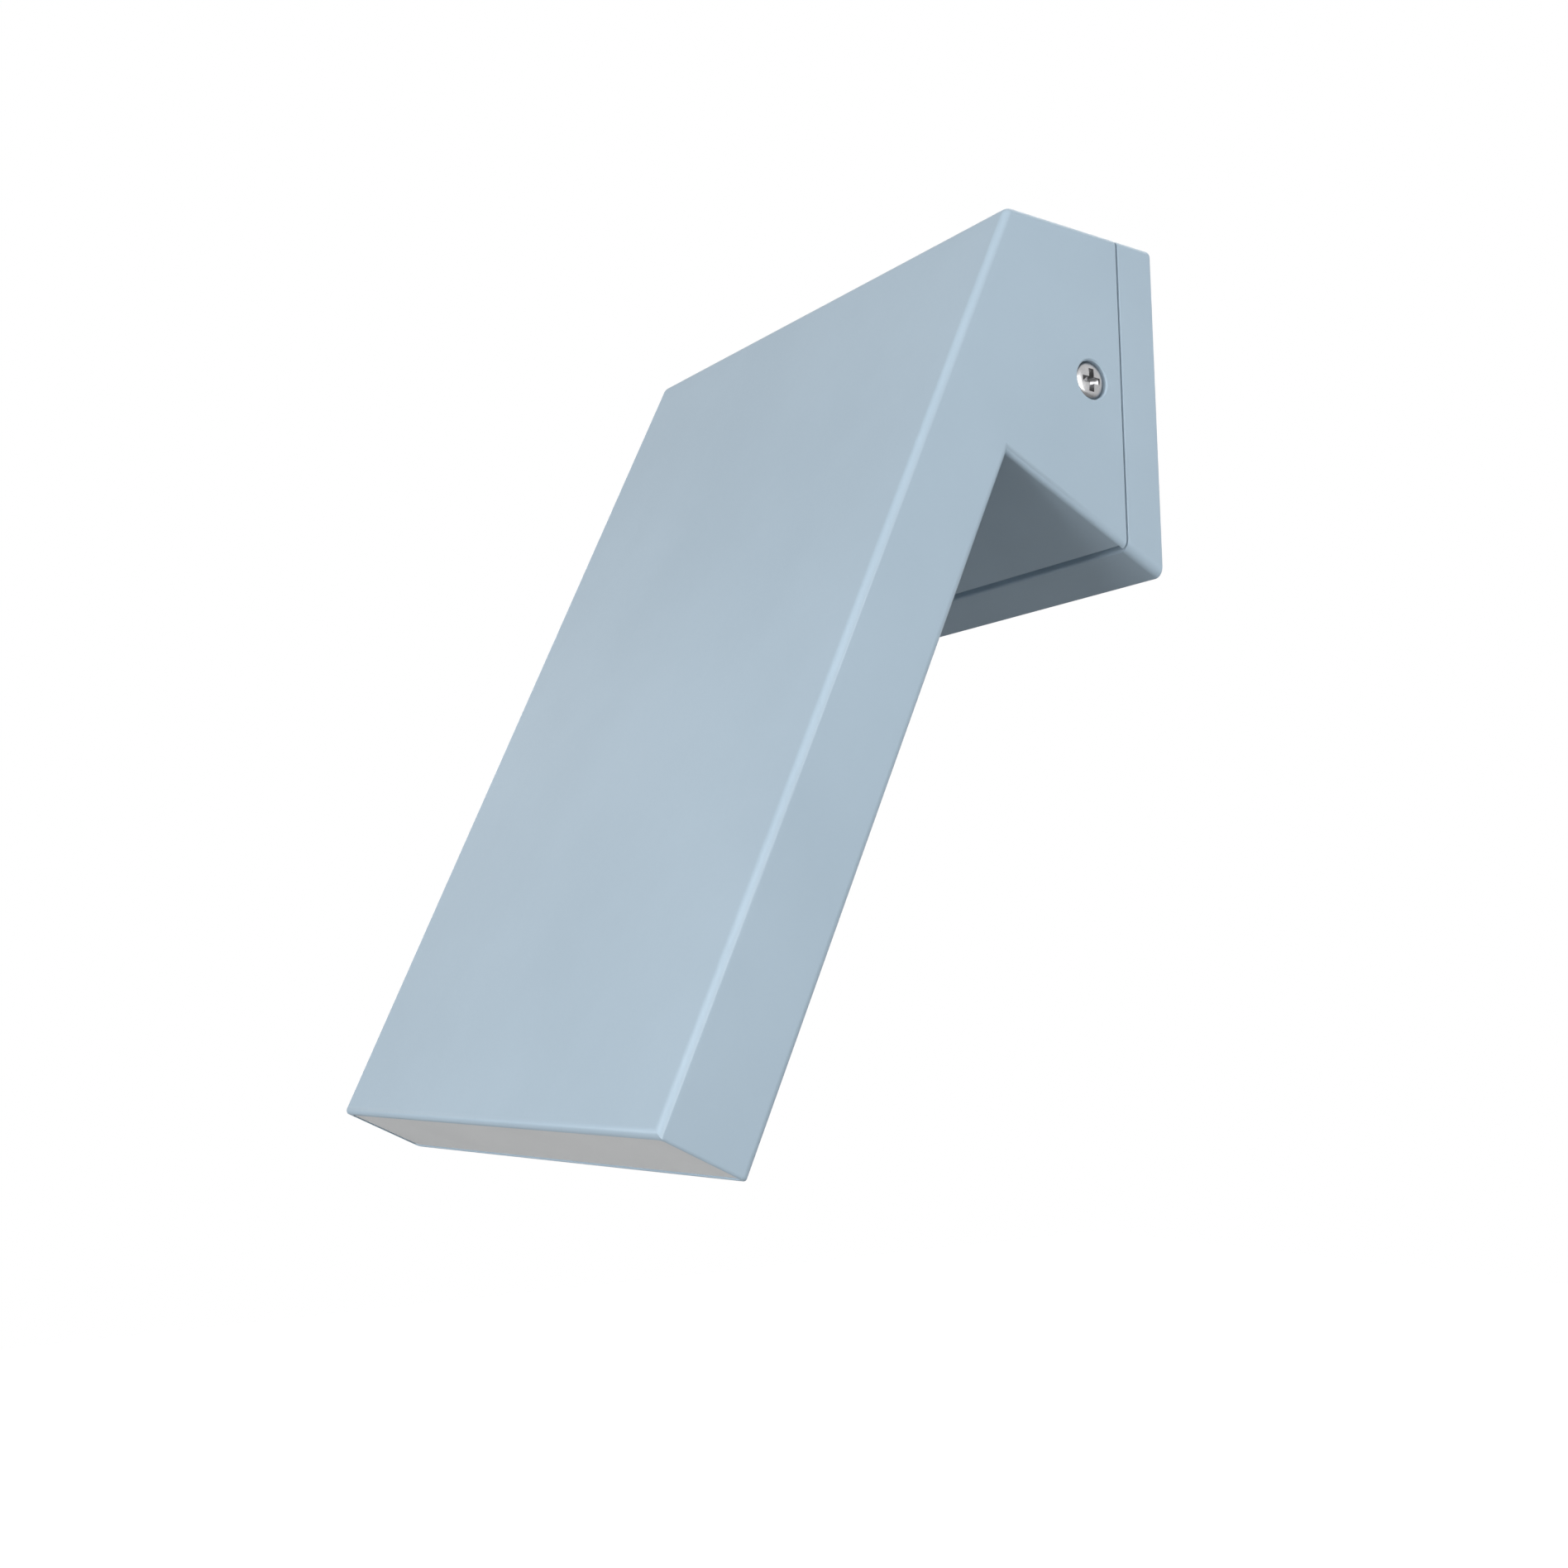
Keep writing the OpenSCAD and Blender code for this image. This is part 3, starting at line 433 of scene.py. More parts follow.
def combine(piece, how, *others):
    """Adds other pieces to a piece, or cuts them out of it. They are used up."""
    other = joined(list(others))
    choose(piece)
    change = piece.modifiers.new("combine", "BOOLEAN")
    change.operation = how
    change.solver = "EXACT"
    change.object = other
    bpy.ops.object.modifier_apply(modifier=change.name)
    bpy.data.objects.remove(other)


def add(piece, *others):
    combine(piece, "UNION", *others)


def cut(piece, *others):
    combine(piece, "DIFFERENCE", *others)


def smooth(piece, angle=32):
    """Smooth shading that stays flat on the flat faces and sharp at the sharp edges."""
    editing(piece)
    bpy.ops.mesh.select_all(action="SELECT")
    bpy.ops.mesh.remove_doubles(threshold=0.0005 * MM)
    bpy.ops.mesh.select_all(action="DESELECT")
    done()
    bpy.ops.object.shade_smooth_by_angle(angle=math.radians(angle))
    weights = piece.modifiers.new("weights", "WEIGHTED_NORMAL")
    weights.keep_sharp = True
    bpy.ops.object.modifier_apply(modifier=weights.name)


def both(x):
    """The same distance to the left and to the right."""
    return (-x, x)


# Finishes


def srgb(red, green, blue):
    """A colour as it is seen on a screen, from 0 to 255, as the light that it stands for."""
    def light(v):
        v /= 255
        return v / 12.92 if v < 0.04045 else ((v + 0.055) / 1.055) ** 2.4
    return (light(red), light(green), light(blue), 1)


def node(made, kind, **inputs):
    made_node = made.node_tree.nodes.new(kind)
    for name, value in inputs.items():
        made_node.inputs[name.replace("_", " ")].default_value = value
    return made_node


def link(made, source, output, target, name):
    made.node_tree.links.new(source.outputs[output], target.inputs[name])


def found(made, kind):
    """The first node of a kind in a finish."""
    return next(n for n in made.node_tree.nodes if n.type == kind)


def noise(made, place, size, detail=3.0, stretch=(1, 1, 1)):
    """Noise whose spots are about so many millimetres wide, on the piece's own coordinates."""
    turn = node(made, "ShaderNodeMapping", Scale=stretch)
    link(made, place, "Object", turn, "Vector")
    pattern = node(made, "ShaderNodeTexNoise", Scale=1 / (size * MM), Detail=detail)
    link(made, turn, "Vector", pattern, "Vector")
    return pattern


def between(made, pattern, low, high, first=0.35, last=0.65):
    """A ramp from one value or colour to another over a pattern."""
    ramp = node(made, "ShaderNodeValToRGB")
    for stop, value, where in ((0, low, first), (1, high, last)):
        element = ramp.color_ramp.elements[stop]
        element.position = where
        element.color = value if hasattr(value, "__len__") else (value, value, value, 1)
    link(made, pattern, "Fac", ramp, "Fac")
    return ramp


def finish(name, light, dark, roughness, mottle=12.0, grain=0.5, depth=0.02, metallic=0.0, stretch=(1, 1, 1)):
    """A surface of two close shades in spots of the mottle's size, with a fine grain in gloss and relief."""
    made = bpy.data.materials.new(name)
    made.use_nodes = True
    shader = made.node_tree.nodes["Principled BSDF"]
    shader.inputs["Metallic"].default_value = metallic
    place = node(made, "ShaderNodeTexCoord")
    cloud = noise(made, place, mottle)
    shade = between(made, cloud, srgb(*dark), srgb(*light))
    link(made, shade, "Color", shader, "Base Color")
    fine = noise(made, place, grain, 4.0, stretch)
    rough = between(made, fine, *roughness)
    link(made, rough, "Color", shader, "Roughness")
    relief = node(made, "ShaderNodeBump", Strength=1.0, Distance=depth * MM)
    link(made, fine, "Fac", relief, "Height")
    link(made, relief, "Normal", shader, "Normal")
    return made


def shell_paint():
    """Satin light blue-grey powder coat: a fine orange peel under a finer grain."""
    made = finish("satin powder coat", (176, 196, 211), (172, 192, 207), (0.42, 0.5),
                  mottle=40.0, grain=0.45, depth=0.012)
    grain = found(made, "BUMP")
    peel = noise(made, found(made, "TEX_COORD"), 2.6, 1.0)
    relief = node(made, "ShaderNodeBump", Strength=1.0, Distance=0.03 * MM)
    link(made, peel, "Fac", relief, "Height")
    link(made, grain, "Normal", relief, "Normal")
    link(made, relief, "Normal", made.node_tree.nodes["Principled BSDF"], "Normal")
    return made


def opal_sheet():
    """Frosted opal sheet: soft light goes a little way in."""
    made = finish("frosted opal", (220, 222, 223), (216, 218, 219), (0.38, 0.46),
                  mottle=25.0, grain=0.35, depth=0.006)
    shader = made.node_tree.nodes["Principled BSDF"]
    shader.inputs["Subsurface Weight"].default_value = 0.25
    shader.inputs["Subsurface Radius"].default_value = (1, 1, 1)
    shader.inputs["Subsurface Scale"].default_value = 1.5 * MM
    return made


def sleeve(name, light, dark):
    """The soft plastic round a wire."""
    return finish(name, light, dark, (0.4, 0.5), grain=0.8)


def striped_sleeve():
    """Green sleeve with a yellow stripe that winds round the wire."""
    made = sleeve("green and yellow sleeve", (52, 120, 44), (46, 110, 40))
    wave = node(made, "ShaderNodeTexWave", Scale=90.0, Distortion=0.0)
    wave.bands_direction = "DIAGONAL"
    link(made, found(made, "TEX_COORD"), "Object", wave, "Vector")
    stripe = between(made, wave, srgb(50, 116, 42), srgb(226, 200, 40), 0.62, 0.66)
    link(made, stripe, "Color", made.node_tree.nodes["Principled BSDF"], "Base Color")
    return made


def metal(name, light, dark, roughness, **texture):
    return finish(name, light, dark, roughness, metallic=1.0, **texture)


# The finish of each of the frame's material slots
FINISHES = {
    "painted_shell": shell_paint(),
    "opal": opal_sheet(),
    "stainless": metal("bright stainless", (186, 186, 187), (172, 172, 174), (0.24, 0.36),
                       mottle=3.0, grain=0.2, depth=0.004, stretch=(1, 6, 1)),
    "zinc_plated": metal("bright zinc", (196, 200, 204), (180, 186, 194), (0.28, 0.42),
                         mottle=4.0, grain=0.3, depth=0.006),
    "black_rubber": finish("black rubber", (38, 38, 39), (30, 30, 31), (0.62, 0.74), grain=0.4),
    "grey_rubber": finish("dark grey foam rubber", (84, 85, 87), (72, 73, 75), (0.75, 0.9),
                          mottle=2.0, grain=0.6, depth=0.06),
    "silicone": finish("pale silicone", (205, 205, 200), (196, 196, 190), (0.4, 0.5), grain=1.2, depth=0.01),
    "white_plastic": finish("satin white plastic", (226, 226, 223), (221, 221, 217), (0.34, 0.42),
                            mottle=20.0, depth=0.006),
    "board_white": finish("white solder mask", (232, 232, 229), (227, 228, 224), (0.22, 0.3),
                          mottle=9.0, grain=0.9, depth=0.004),
    "phosphor": finish("yellow phosphor", (236, 206, 96), (228, 192, 74), (0.25, 0.35),
                       mottle=1.5, grain=0.3, depth=0.004),
    "ivory_plastic": finish("natural nylon", (222, 214, 190), (214, 205, 180), (0.4, 0.5),
                            mottle=8.0, grain=0.7, depth=0.01),
    "bare_aluminium": metal("rolled aluminium", (206, 208, 210), (194, 196, 199), (0.3, 0.45),
                            mottle=6.0, depth=0.01, stretch=(0.06, 1, 1)),
    "blue_pad": finish("soft heat pad", (120, 160, 200), (112, 152, 192), (0.7, 0.8), grain=0.9),
    "brass": metal("bright brass", (214, 180, 104), (200, 164, 88), (0.25, 0.38),
                   mottle=4.0, grain=0.4, depth=0.006),
    "tinned": metal("tinned copper", (208, 208, 206), (192, 192, 190), (0.25, 0.4),
                    mottle=3.0, grain=0.4, depth=0.01),
    "brown_wire": sleeve("brown sleeve", (112, 66, 40), (102, 60, 36)),
    "blue_wire": sleeve("blue sleeve", (52, 104, 178), (46, 96, 168)),
    "green_yellow_wire": striped_sleeve(),
    "red_wire": sleeve("red sleeve", (176, 40, 36), (164, 34, 32)),
    "black_wire": sleeve("black sleeve", (34, 34, 35), (28, 28, 29)),
}


def give(piece, slot, body, *nodes):
    """Gives a new piece its finish and the body it moves with, and hides the parts of the frame it stands
    for.
    """
    piece.data.materials.clear()
    piece.data.materials.append(FINISHES[slot])
    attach(piece, body)
    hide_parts(*nodes)


# The housing: one cast and painted shell


def head_and_arm(name, low_y, high_y, end, inset, seam):
    """The arm with the head grown out of its upper end, cut off at the top face and at the seam.

    Both grow past the planes that cut them off. The shell stays open for shaping.
    """
    under = NOTCH_Z + inset
    half = HALF_W - inset
    shell = block(name, (-half, low_y, end), (half, high_y, under))
    editing(shell)
    pick(shell, "faces", lambda f: f.normal.z > 0.99)
    extrude(0, 0, HEAD_DEPTH - under)
    pick(shell, "faces", lambda f: f.normal.y > 0.99 and middle(f).z > under)
    extrude(0, 2 * HEAD_DEPTH, 0)
    slice_off(UP_IN_ARM * -inset, UP_IN_ARM)
    slice_off(BACK_IN_ARM * (HEAD_DEPTH + seam), BACK_IN_ARM)
    bpy.ops.mesh.select_all(action="SELECT")
    bpy.ops.mesh.dissolve_limited(angle_limit=math.radians(0.5))
    return shell


def on_seam(edge):
    return all(near(corner.co.dot(BACK_IN_ARM) / MM, HEAD_DEPTH + SEAM_Y) for corner in edge.verts)


def in_notch(edge):
    return lies_at(edge, Y, ARM_T) and lies_at(edge, Z, NOTCH_Z)


def on_rim(edge):
    """Whether an edge is one of the mouth's, but not the front one."""
    return lies_at(edge, Z, TIP_Z) and middle(edge).y > EDGE_R


def outer_form():
    """The outside of the housing, with its rounded edges and a chamfer at the seam."""
    shell = head_and_arm("housing_shell", 0, ARM_T, TIP_Z, 0, SEAM_Y)
    pick(shell, "edges", lambda e: not on_seam(e) and not in_notch(e) and not on_rim(e))
    bevel(EDGE_R, 6)
    pick(shell, "edges", on_rim)
    bevel(RIM_EDGE_R, 3)
    pick(shell, "edges", on_seam)
    bevel(SEAM_CHAMFER, 2)
    done()
    return shell


def hollow_form():
    """The space inside, with cast corners and a chamfered mouth at the lower end."""
    space = head_and_arm("space", WALL, ARM_T - WALL, TIP_Z + MOUTH_CHAMFER, WALL, SEAM_Y + CUT)
    pick(space, "edges", lambda e: keeps(e, X))
    bevel(CAST_FILLET, 3)
    pick(space, "faces", lambda f: f.normal.z < -0.99 and middle(f).z < -ARM_LEN / 2)
    flare = MOUTH_CHAMFER + CUT
    extrude(0, 0, -flare)
    bpy.ops.transform.resize(value=(1 + flare / INNER_X, 1 + 2 * flare / (ARM_T - 2 * WALL), 1))
    done()
    return space


def boss(radius, height, spot, facing):
    """A cast boss that flares where it grows out of a wall, and is broken at its top edge."""
    foot = radius + BOSS_ROOT
    rings = [(foot, -WALL / 2), (foot, -ROOT_SUNK)]
    for step in (1, 2, 3, 4):
        turn = step / 4 * QUARTER_TURN
        across, up = 1 - math.sin(turn), 1 - math.cos(turn)
        rings.append((radius + BOSS_ROOT * across, BOSS_ROOT * up - ROOT_SUNK))
    rings += [(radius, height - BROKEN_EDGE), (radius - BROKEN_EDGE, height)]
    return put(turned("boss", rings, 40), spot, facing)


def hole(radius, deep, spot, facing, mouth=BROKEN_EDGE):
    """A cutter for a drilled hole with a broken edge, whose face lies at the spot."""
    rings = [(radius, -deep), (radius, -mouth), (radius + mouth + CUT, CUT)]
    return put(turned("hole", rings, 32), spot, facing)


def rabbet():
    """The recess inside the rim for the diffuser."""
    return rounded_block("rabbet", (-HALF_W + RIM, RIM + RIM_FRONT_MORE, -ARM_LEN - CUT),
                         (HALF_W - RIM, ARM_T - RIM, DIFFUSER_Z + DIFFUSER_T), RIM_CORNER_R, Z, 4)


def shelf_ring():
    """The shelf behind the diffuser."""
    ring = block("shelf", (-INNER_X - CUT, WALL / 2, SHELF_Z), (INNER_X + CUT, ARM_T - WALL / 2, SHELF_TOP))
    window = rounded_block("window", (-INNER_X + SHELF_W, WALL + SHELF_W, SHELF_Z - CUT),
                           (INNER_X - SHELF_W, ARM_T - WALL - SHELF_W, SHELF_TOP + CUT), RIM_CORNER_R, Z)
    cut(ring, window)
    return ring


def cover_ledge():
    """The block that the ledge round the cover's opening is cut from."""
    return block("ledge", (-INNER_X - CUT, SEAL_Y - LEDGE_T, COVER_LOW - LEDGE_W),
                 (INNER_X + CUT, ARM_T - WALL / 2, COVER_HIGH + WALL))


def cover_pocket():
    """The recess for the cover and its seal, with a chamfered mouth in the arm's back."""
    pocket = rounded_block("pocket", (-INNER_X, SEAL_Y, COVER_LOW),
                           (INNER_X, ARM_T - MOUTH_CHAMFER, COVER_HIGH), POCKET_CORNER_R, Y)
    editing(pocket)
    pick(pocket, "faces", lambda f: f.normal.y > 0.99)
    flare = MOUTH_CHAMFER + CUT
    extrude(0, flare, 0)
    bpy.ops.transform.resize(value=(1 + flare / INNER_X, 1, 1 + 2 * flare / (COVER_HIGH - COVER_LOW)))
    done()
    return pocket


def cover_window():
    """The opening inside the ledge."""
    return block("window", (-INNER_X + LEDGE_W, ARM_T / 2, COVER_LOW + LEDGE_W),
                 (INNER_X - LEDGE_W, ARM_T + CUT, COVER_HIGH - LEDGE_W))


def inner_bosses():
    """What the screws of the cover, the driver, the terminal block, the earth lug and the carrier go into."""
    made = [boss(COVER_BOSS_R, SEAL_Y + 1 - WALL, (x, WALL, z), BACK) for x in both(COVER_SCREW_X)
            for z in COVER_SCREW_Z]
    made += [boss(SMALL_BOSS_R, LAND_H, (x, WALL, DRIVER_Z), BACK) for x in both(DRIVER_TAB_X)]
    made += [boss(SMALL_BOSS_R, LAND_H, (x, BLOCK_Y, HEAD_FLOOR_Z), UP) for x in both(BLOCK_TAB_X)]
    made.append(boss(EARTH_BOSS_R, LAND_H, (EARTH_X, BLOCK_Y, HEAD_FLOOR_Z), UP))
    made.append(rounded_block("land", (-LEG_HALF, WALL / 2, LEG_Z),
                              (LEG_HALF, WALL + LAND_H, LEG_Z + LEG_LEN), LAND_CORNER_R, Y))
    return made


def inner_holes():
    """The holes that the inner screws and the cover screws are driven into."""
    deep = LAND_H - BLIND_FLOOR
    mid_leg_z = LEG_Z + LEG_LEN / 2
    made = [hole(TAPPING_R, COVER_SCREW_LEN, (x, COVER_Y, z), BACK) for x in both(COVER_SCREW_X)
            for z in COVER_SCREW_Z]
    made += [hole(TAPPING_R, deep, (x, WALL + LAND_H, DRIVER_Z), BACK) for x in both(DRIVER_TAB_X)]
    made += [hole(TAPPING_R, deep, (x, WALL + LAND_H, mid_leg_z), BACK)
             for x in (-LEG_SCREW_X, 0, LEG_SCREW_X)]
    made += [hole(TAPPING_R, deep, (x, BLOCK_Y, HEAD_FLOOR_Z + LAND_H), UP) for x in both(BLOCK_TAB_X)]
    made.append(hole(SCREW_HOLE_R, deep, (EARTH_X, BLOCK_Y, HEAD_FLOOR_Z + LAND_H), UP))
    return made


def shadow_gap():
    """What is taken off the housing's rear edge, so that the seam shows dark from below."""
    under_seam = -TOP_Z - SEAM_Y * math.tan(LEAN)
    return block("shadow_gap", (-HALF_W + SHADOW_INSET, SEAM_Y - SHADOW_GAP, -TOP_Z),
                 (HALF_W - SHADOW_INSET, SEAM_Y + CUT, under_seam + SHADOW_DEEP))


def side_fittings(shell):
    """The bosses for the side screws, the ribs beside the clamp nuts and the seats for the screw heads."""
    seat_deep = SCREW_SINK + SCREW_HEAD_H + RING_T
    seat_r = SCREW_HEAD_R + SLIDE_GAP
    seat = [(seat_r, -seat_deep), (seat_r, -BROKEN_EDGE), (seat_r + BROKEN_EDGE, 0),
            (seat_r + BROKEN_EDGE + CUT, CUT)]
    through = WALL + SIDE_BOSS_H + 3 * CUT
    rib_z = NUT_H / 2 + SEAT_GAP
    for side in (-1, 1):
        outward = (side, 0, 0)
        add(shell, boss(SIDE_BOSS_R, SIDE_BOSS_H, (side * INNER_X, SCREW_Y, SCREW_Z), (-side, 0, 0)))
        inner, outer = sorted((side * SCREW_END, side * (INNER_X + CUT)))
        ribs = [block("rib", (inner, NUT_FRONT - 1, z), (outer, RIB_START, z + RIB_T))
                for z in (SCREW_Z + rib_z, SCREW_Z - rib_z - RIB_T)]
        add(shell, *ribs)
        cut(shell, put(turned("seat", seat, 64), (side * HALF_W, SCREW_Y, SCREW_Z), outward))
        seat_floor = (side * (HALF_W - seat_deep), SCREW_Y, SCREW_Z)
        cut(shell, hole(SCREW_HOLE_R, through, seat_floor, outward, SHARP_EDGE))


def housing_shell():
    shell = outer_form()
    cut(shell, hollow_form())
    cut(shell, rabbet())
    add(shell, shelf_ring())
    add(shell, cover_ledge())
    cut(shell, cover_pocket())
    cut(shell, cover_window())
    add(shell, *inner_bosses())
    cut(shell, *inner_holes())
    lean(shell)
    cut(shell, shadow_gap())
    side_fittings(shell)
    smooth(shell)
    give(shell, "painted_shell", "lamp", "housing")


# The bracket on the wall


def runs_back(edge):
    """Whether an edge runs from the bracket's front to the wall."""
    return keeps(edge, X) and not keeps(edge, Y)


def bracket_form():
    """The bracket's outside, with its rounded edges."""
    bracket = block("bracket_shell", (-HALF_W, -BRACKET_DEPTH, -TOP_Z), (HALF_W, 0, TOP_Z))
    editing(bracket)
    slice_off((0, 0, -TOP_Z), UNDERSIDE)
    pick(bracket, "edges", lambda e: runs_back(e) and middle(e).z > 0)
    bevel(EDGE_R, 6)
    pick(bracket, "edges", lambda e: runs_back(e) and middle(e).z < -EDGE_R
         and near(abs(middle(e).x), HALF_W))
    bevel(BRACKET_LOW_R, 8)
    pick(bracket, "edges", lambda e: lies_at(e, Y, -BRACKET_DEPTH))
    bevel(BRACKET_FRONT_R, 2)
    pick(bracket, "edges", lambda e: lies_at(e, Y, 0))
    bevel(BRACKET_BACK_R, 2)
    done()
    return bracket


def tray_form():
    """The space in the bracket's front, with cast corners."""
    tray = block("tray", (-HALF_W + RIM_W, -BRACKET_DEPTH - CUT, -TOP_Z),
                 (HALF_W - RIM_W, -PLATE_T, TOP_Z - RIM_W))
    editing(tray)
    slice_off((0, 0, -TOP_Z + RIM_W / COS), UNDERSIDE)
    pick(tray, "edges", lambda e: not keeps(e, Y) or lies_at(e, Y, -PLATE_T))
    bevel(CAST_CORNER_R, 3)
    done()
    return tray


def ear(side):
    """An ear that stands out of the bracket's back plate, rounded at its free end."""
    inner, outer = sorted((side * EAR_INNER, side * EAR_OUTER))
    made = block("ear", (inner, EAR_END, SCREW_Z - EAR_H / 2), (outer, -PLATE_T / 2, SCREW_Z + EAR_H / 2))
    editing(made)
    pick(made, "edges", lambda e: lies_at(e, Y, EAR_END) and keeps(e, Z))
    bevel(EAR_CORNER_R, 5)
    done()
    return made


def ear_slot(side):
    """The open slot that a side screw slides into."""
    half_w = SCREW_R + SLIDE_GAP
    half_t = EAR_T / 2 + CUT
    mid_x = side * (EAR_INNER + EAR_T / 2)
    rings = [(half_w, -half_t), (half_w, half_t)]
    slot = put(turned("slot", rings, 32), (mid_x, SCREW_Y, SCREW_Z), (1, 0, 0))
    add(slot, block("way in", (mid_x - half_t, EAR_END - CUT, SCREW_Z - half_w),
                    (mid_x + half_t, SCREW_Y, SCREW_Z + half_w)))
    return slot


def flat_ring(name, half, low_z, high_z, width, low_y, high_y):
    """A rectangular ring, square to the wall."""
    ring = block(name, (-half, low_y, low_z), (half, high_y, high_z))
    cut(ring, block("inside", (-half + width, low_y - CUT, low_z + width),
                    (half - width, high_y + CUT, high_z - width)))
    return ring


def gasket_groove():
    return flat_ring("groove", HALF_W - RIM_W, -TOP_Z + RIM_W, TOP_Z - RIM_W, GASKET_W, -GASKET_T, CUT)


def seam_groove():
    low_z = -TOP_Z + BRACKET_DEPTH * math.tan(LEAN) + SEAM_SEAL_INSET + EDGE_R / 2
    return flat_ring("groove", HALF_W - SEAM_SEAL_INSET, low_z, TOP_Z - SEAM_SEAL_INSET, SEAM_SEAL_W,
                     -BRACKET_DEPTH - CUT, -BRACKET_DEPTH + SEAM_GROOVE)


def bracket_shell():
    bracket = bracket_form()
    cut(bracket, tray_form())
    add(bracket, *[boss(FIXING_BOSS_R, FIXING_BOSS_H, (x, -PLATE_T, 0), FRONT) for x in both(FIXING_X)])
    add(bracket, *[ear(side) for side in (-1, 1)])
    fixing_y = -PLATE_T - FIXING_BOSS_H
    holes = [hole(FIXING_R, BRACKET_DEPTH, (x, fixing_y, 0), FRONT, FIXING_MOUTH) for x in both(FIXING_X)]
    holes.append(hole(GROMMET_HOLE_R, BRACKET_DEPTH, (0, -PLATE_T, 0), FRONT))
    cut(bracket, *holes)
    for side in (-1, 1):
        cut(bracket, ear_slot(side))
    cut(bracket, gasket_groove())
    cut(bracket, seam_groove())
    smooth(bracket)
    give(bracket, "painted_shell", "bracket", "wall_bracket")


# Plates and fasteners


def diffuser_plate():
    edge = RIM + RIM_GAP
    plate = rounded_block("diffuser_plate", (-HALF_W + edge, edge + RIM_FRONT_MORE, DIFFUSER_Z),
                          (HALF_W - edge, ARM_T - edge, DIFFUSER_Z + DIFFUSER_T),
                          RIM_CORNER_R - RIM_GAP, Z, 4)
    editing(plate)
    pick(plate, "edges", lambda e: lies_at(e, Z, DIFFUSER_Z))
    bevel(DIFFUSER_EDGE_R, 3)
    done()
    lean(plate)
    smooth(plate)
    give(plate, "opal", "lamp", "diffuser")


def cover_plate():
    """The cover on the back of the arm, with four countersunk holes."""
    plate = rounded_block("cover_plate", (-INNER_X + COVER_GAP, COVER_Y, COVER_LOW + COVER_GAP),
                          (INNER_X - COVER_GAP, ARM_T, COVER_HIGH - COVER_GAP), COVER_CORNER_R, Y, 4)
    editing(plate)
    pick(plate, "edges", lambda e: lies_at(e, Y, ARM_T))
    bevel(COVER_EDGE_R, 3)
    done()
    hole_r = SMALL_R + SLIDE_GAP
    sink_r = COVER_HEAD_R + SEAT_GAP
    sink = [(hole_r, -COVER_T - CUT), (hole_r, -COVER_HEAD_H), (sink_r, 0), (sink_r + CUT, CUT)]
    sinks = [put(turned("sink", sink, 48), (x, ARM_T, z), BACK) for x in both(COVER_SCREW_X)
             for z in COVER_SCREW_Z]
    cut(plate, *sinks)
    lean(plate)
    smooth(plate)
    give(plate, "painted_shell", "lamp", "arm_cover")


def cross_recess(head, reach, width, deep):
    """Cuts a cross into a screw's head, whose top is at z = 0. Its lower part tapers."""
    straight = 0.3
    for turn in (0, QUARTER_TURN):
        arm = block("recess", (-reach, -width / 2, -deep * straight), (reach, width / 2, CUT))
        editing(arm)
        pick(arm, "faces", lambda f: f.normal.z < -0.99)
        extrude(0, 0, -deep * (1 - straight))
        bpy.ops.transform.resize(value=(0.5, 0.7, 1))
        done()
        arm.rotation_euler.z = turn
        bpy.ops.object.transform_apply()
        cut(head, arm)


def thread(radius, length, pitch, head=0.0):
    """The rings of a threaded shank, from its tip up to the head. The head reaches down from z = 0."""
    root = radius - THREAD_DEEP * pitch
    first = -length + SCREW_TIP
    rings = [(root - BROKEN_EDGE, -length), (root, first)]
    for i in range(int((length - head - 1) / pitch)):
        start = first + i * pitch
        rings += [(radius, start + pitch * 0.45), (radius, start + pitch * 0.55), (root, start + pitch)]
    return rings


def side_screws():
    """The two pan head screws with a cross recess, each in its seat."""
    rings = thread(SCREW_R, HALF_W - SCREW_SINK - SCREW_HEAD_H - SCREW_END, SCREW_PITCH)
    rings += [(SCREW_R, -BROKEN_EDGE), (SCREW_R, 0)]
    rings += [(SCREW_HEAD_R * across, SCREW_HEAD_H * up) for across, up in PAN_HEAD]
    screw = put(turned("right_screw_turned", rings, 48), (0, 0, -SCREW_HEAD_H))
    cross_recess(screw, reach=SCREW_HEAD_R * 0.6, width=SCREW_HEAD_R * 0.34, deep=SCREW_HEAD_H * 0.95)
    put(screw, (HALF_W - SCREW_SINK, SCREW_Y, SCREW_Z), (1, 0, 0))
    smooth(screw)
    twin = mirrored(screw, "left_screw_turned")
    give(screw, "stainless", "right_screw", "right_side_screw")
    give(twin, "stainless", "left_screw", "left_side_screw")


def clamp_nuts():
    """The blocks that the side screws draw up, with rounded corners and a drilled hole."""
    nut = rounded_block("right_nut_block", (NUT_INNER, NUT_FRONT, SCREW_Z - NUT_H / 2),
                        (NUT_OUTER, NUT_FRONT + NUT_LEN, SCREW_Z + NUT_H / 2), NUT_CORNER_R, X, 4)
    editing(nut)
    pick(nut, "edges", lambda e: keeps(e, X))
    bevel(NUT_EDGE, 2)
    done()
    half_t = NUT_T / 2
    mouth_r = SCREW_HOLE_R + NUT_SINK + CUT
    bore = [(mouth_r, -half_t - CUT), (SCREW_HOLE_R, -half_t + NUT_SINK),
            (SCREW_HOLE_R, half_t - NUT_SINK), (mouth_r, half_t + CUT)]
    cut(nut, put(turned("bore", bore, 40), (NUT_INNER + half_t, SCREW_Y, SCREW_Z), (1, 0, 0)))
    smooth(nut)
    twin = mirrored(nut, "left_nut_block")
    give(nut, "zinc_plated", "right_nut", "right_clamp_nut")
    give(twin, "zinc_plated", "left_nut", "left_clamp_nut")


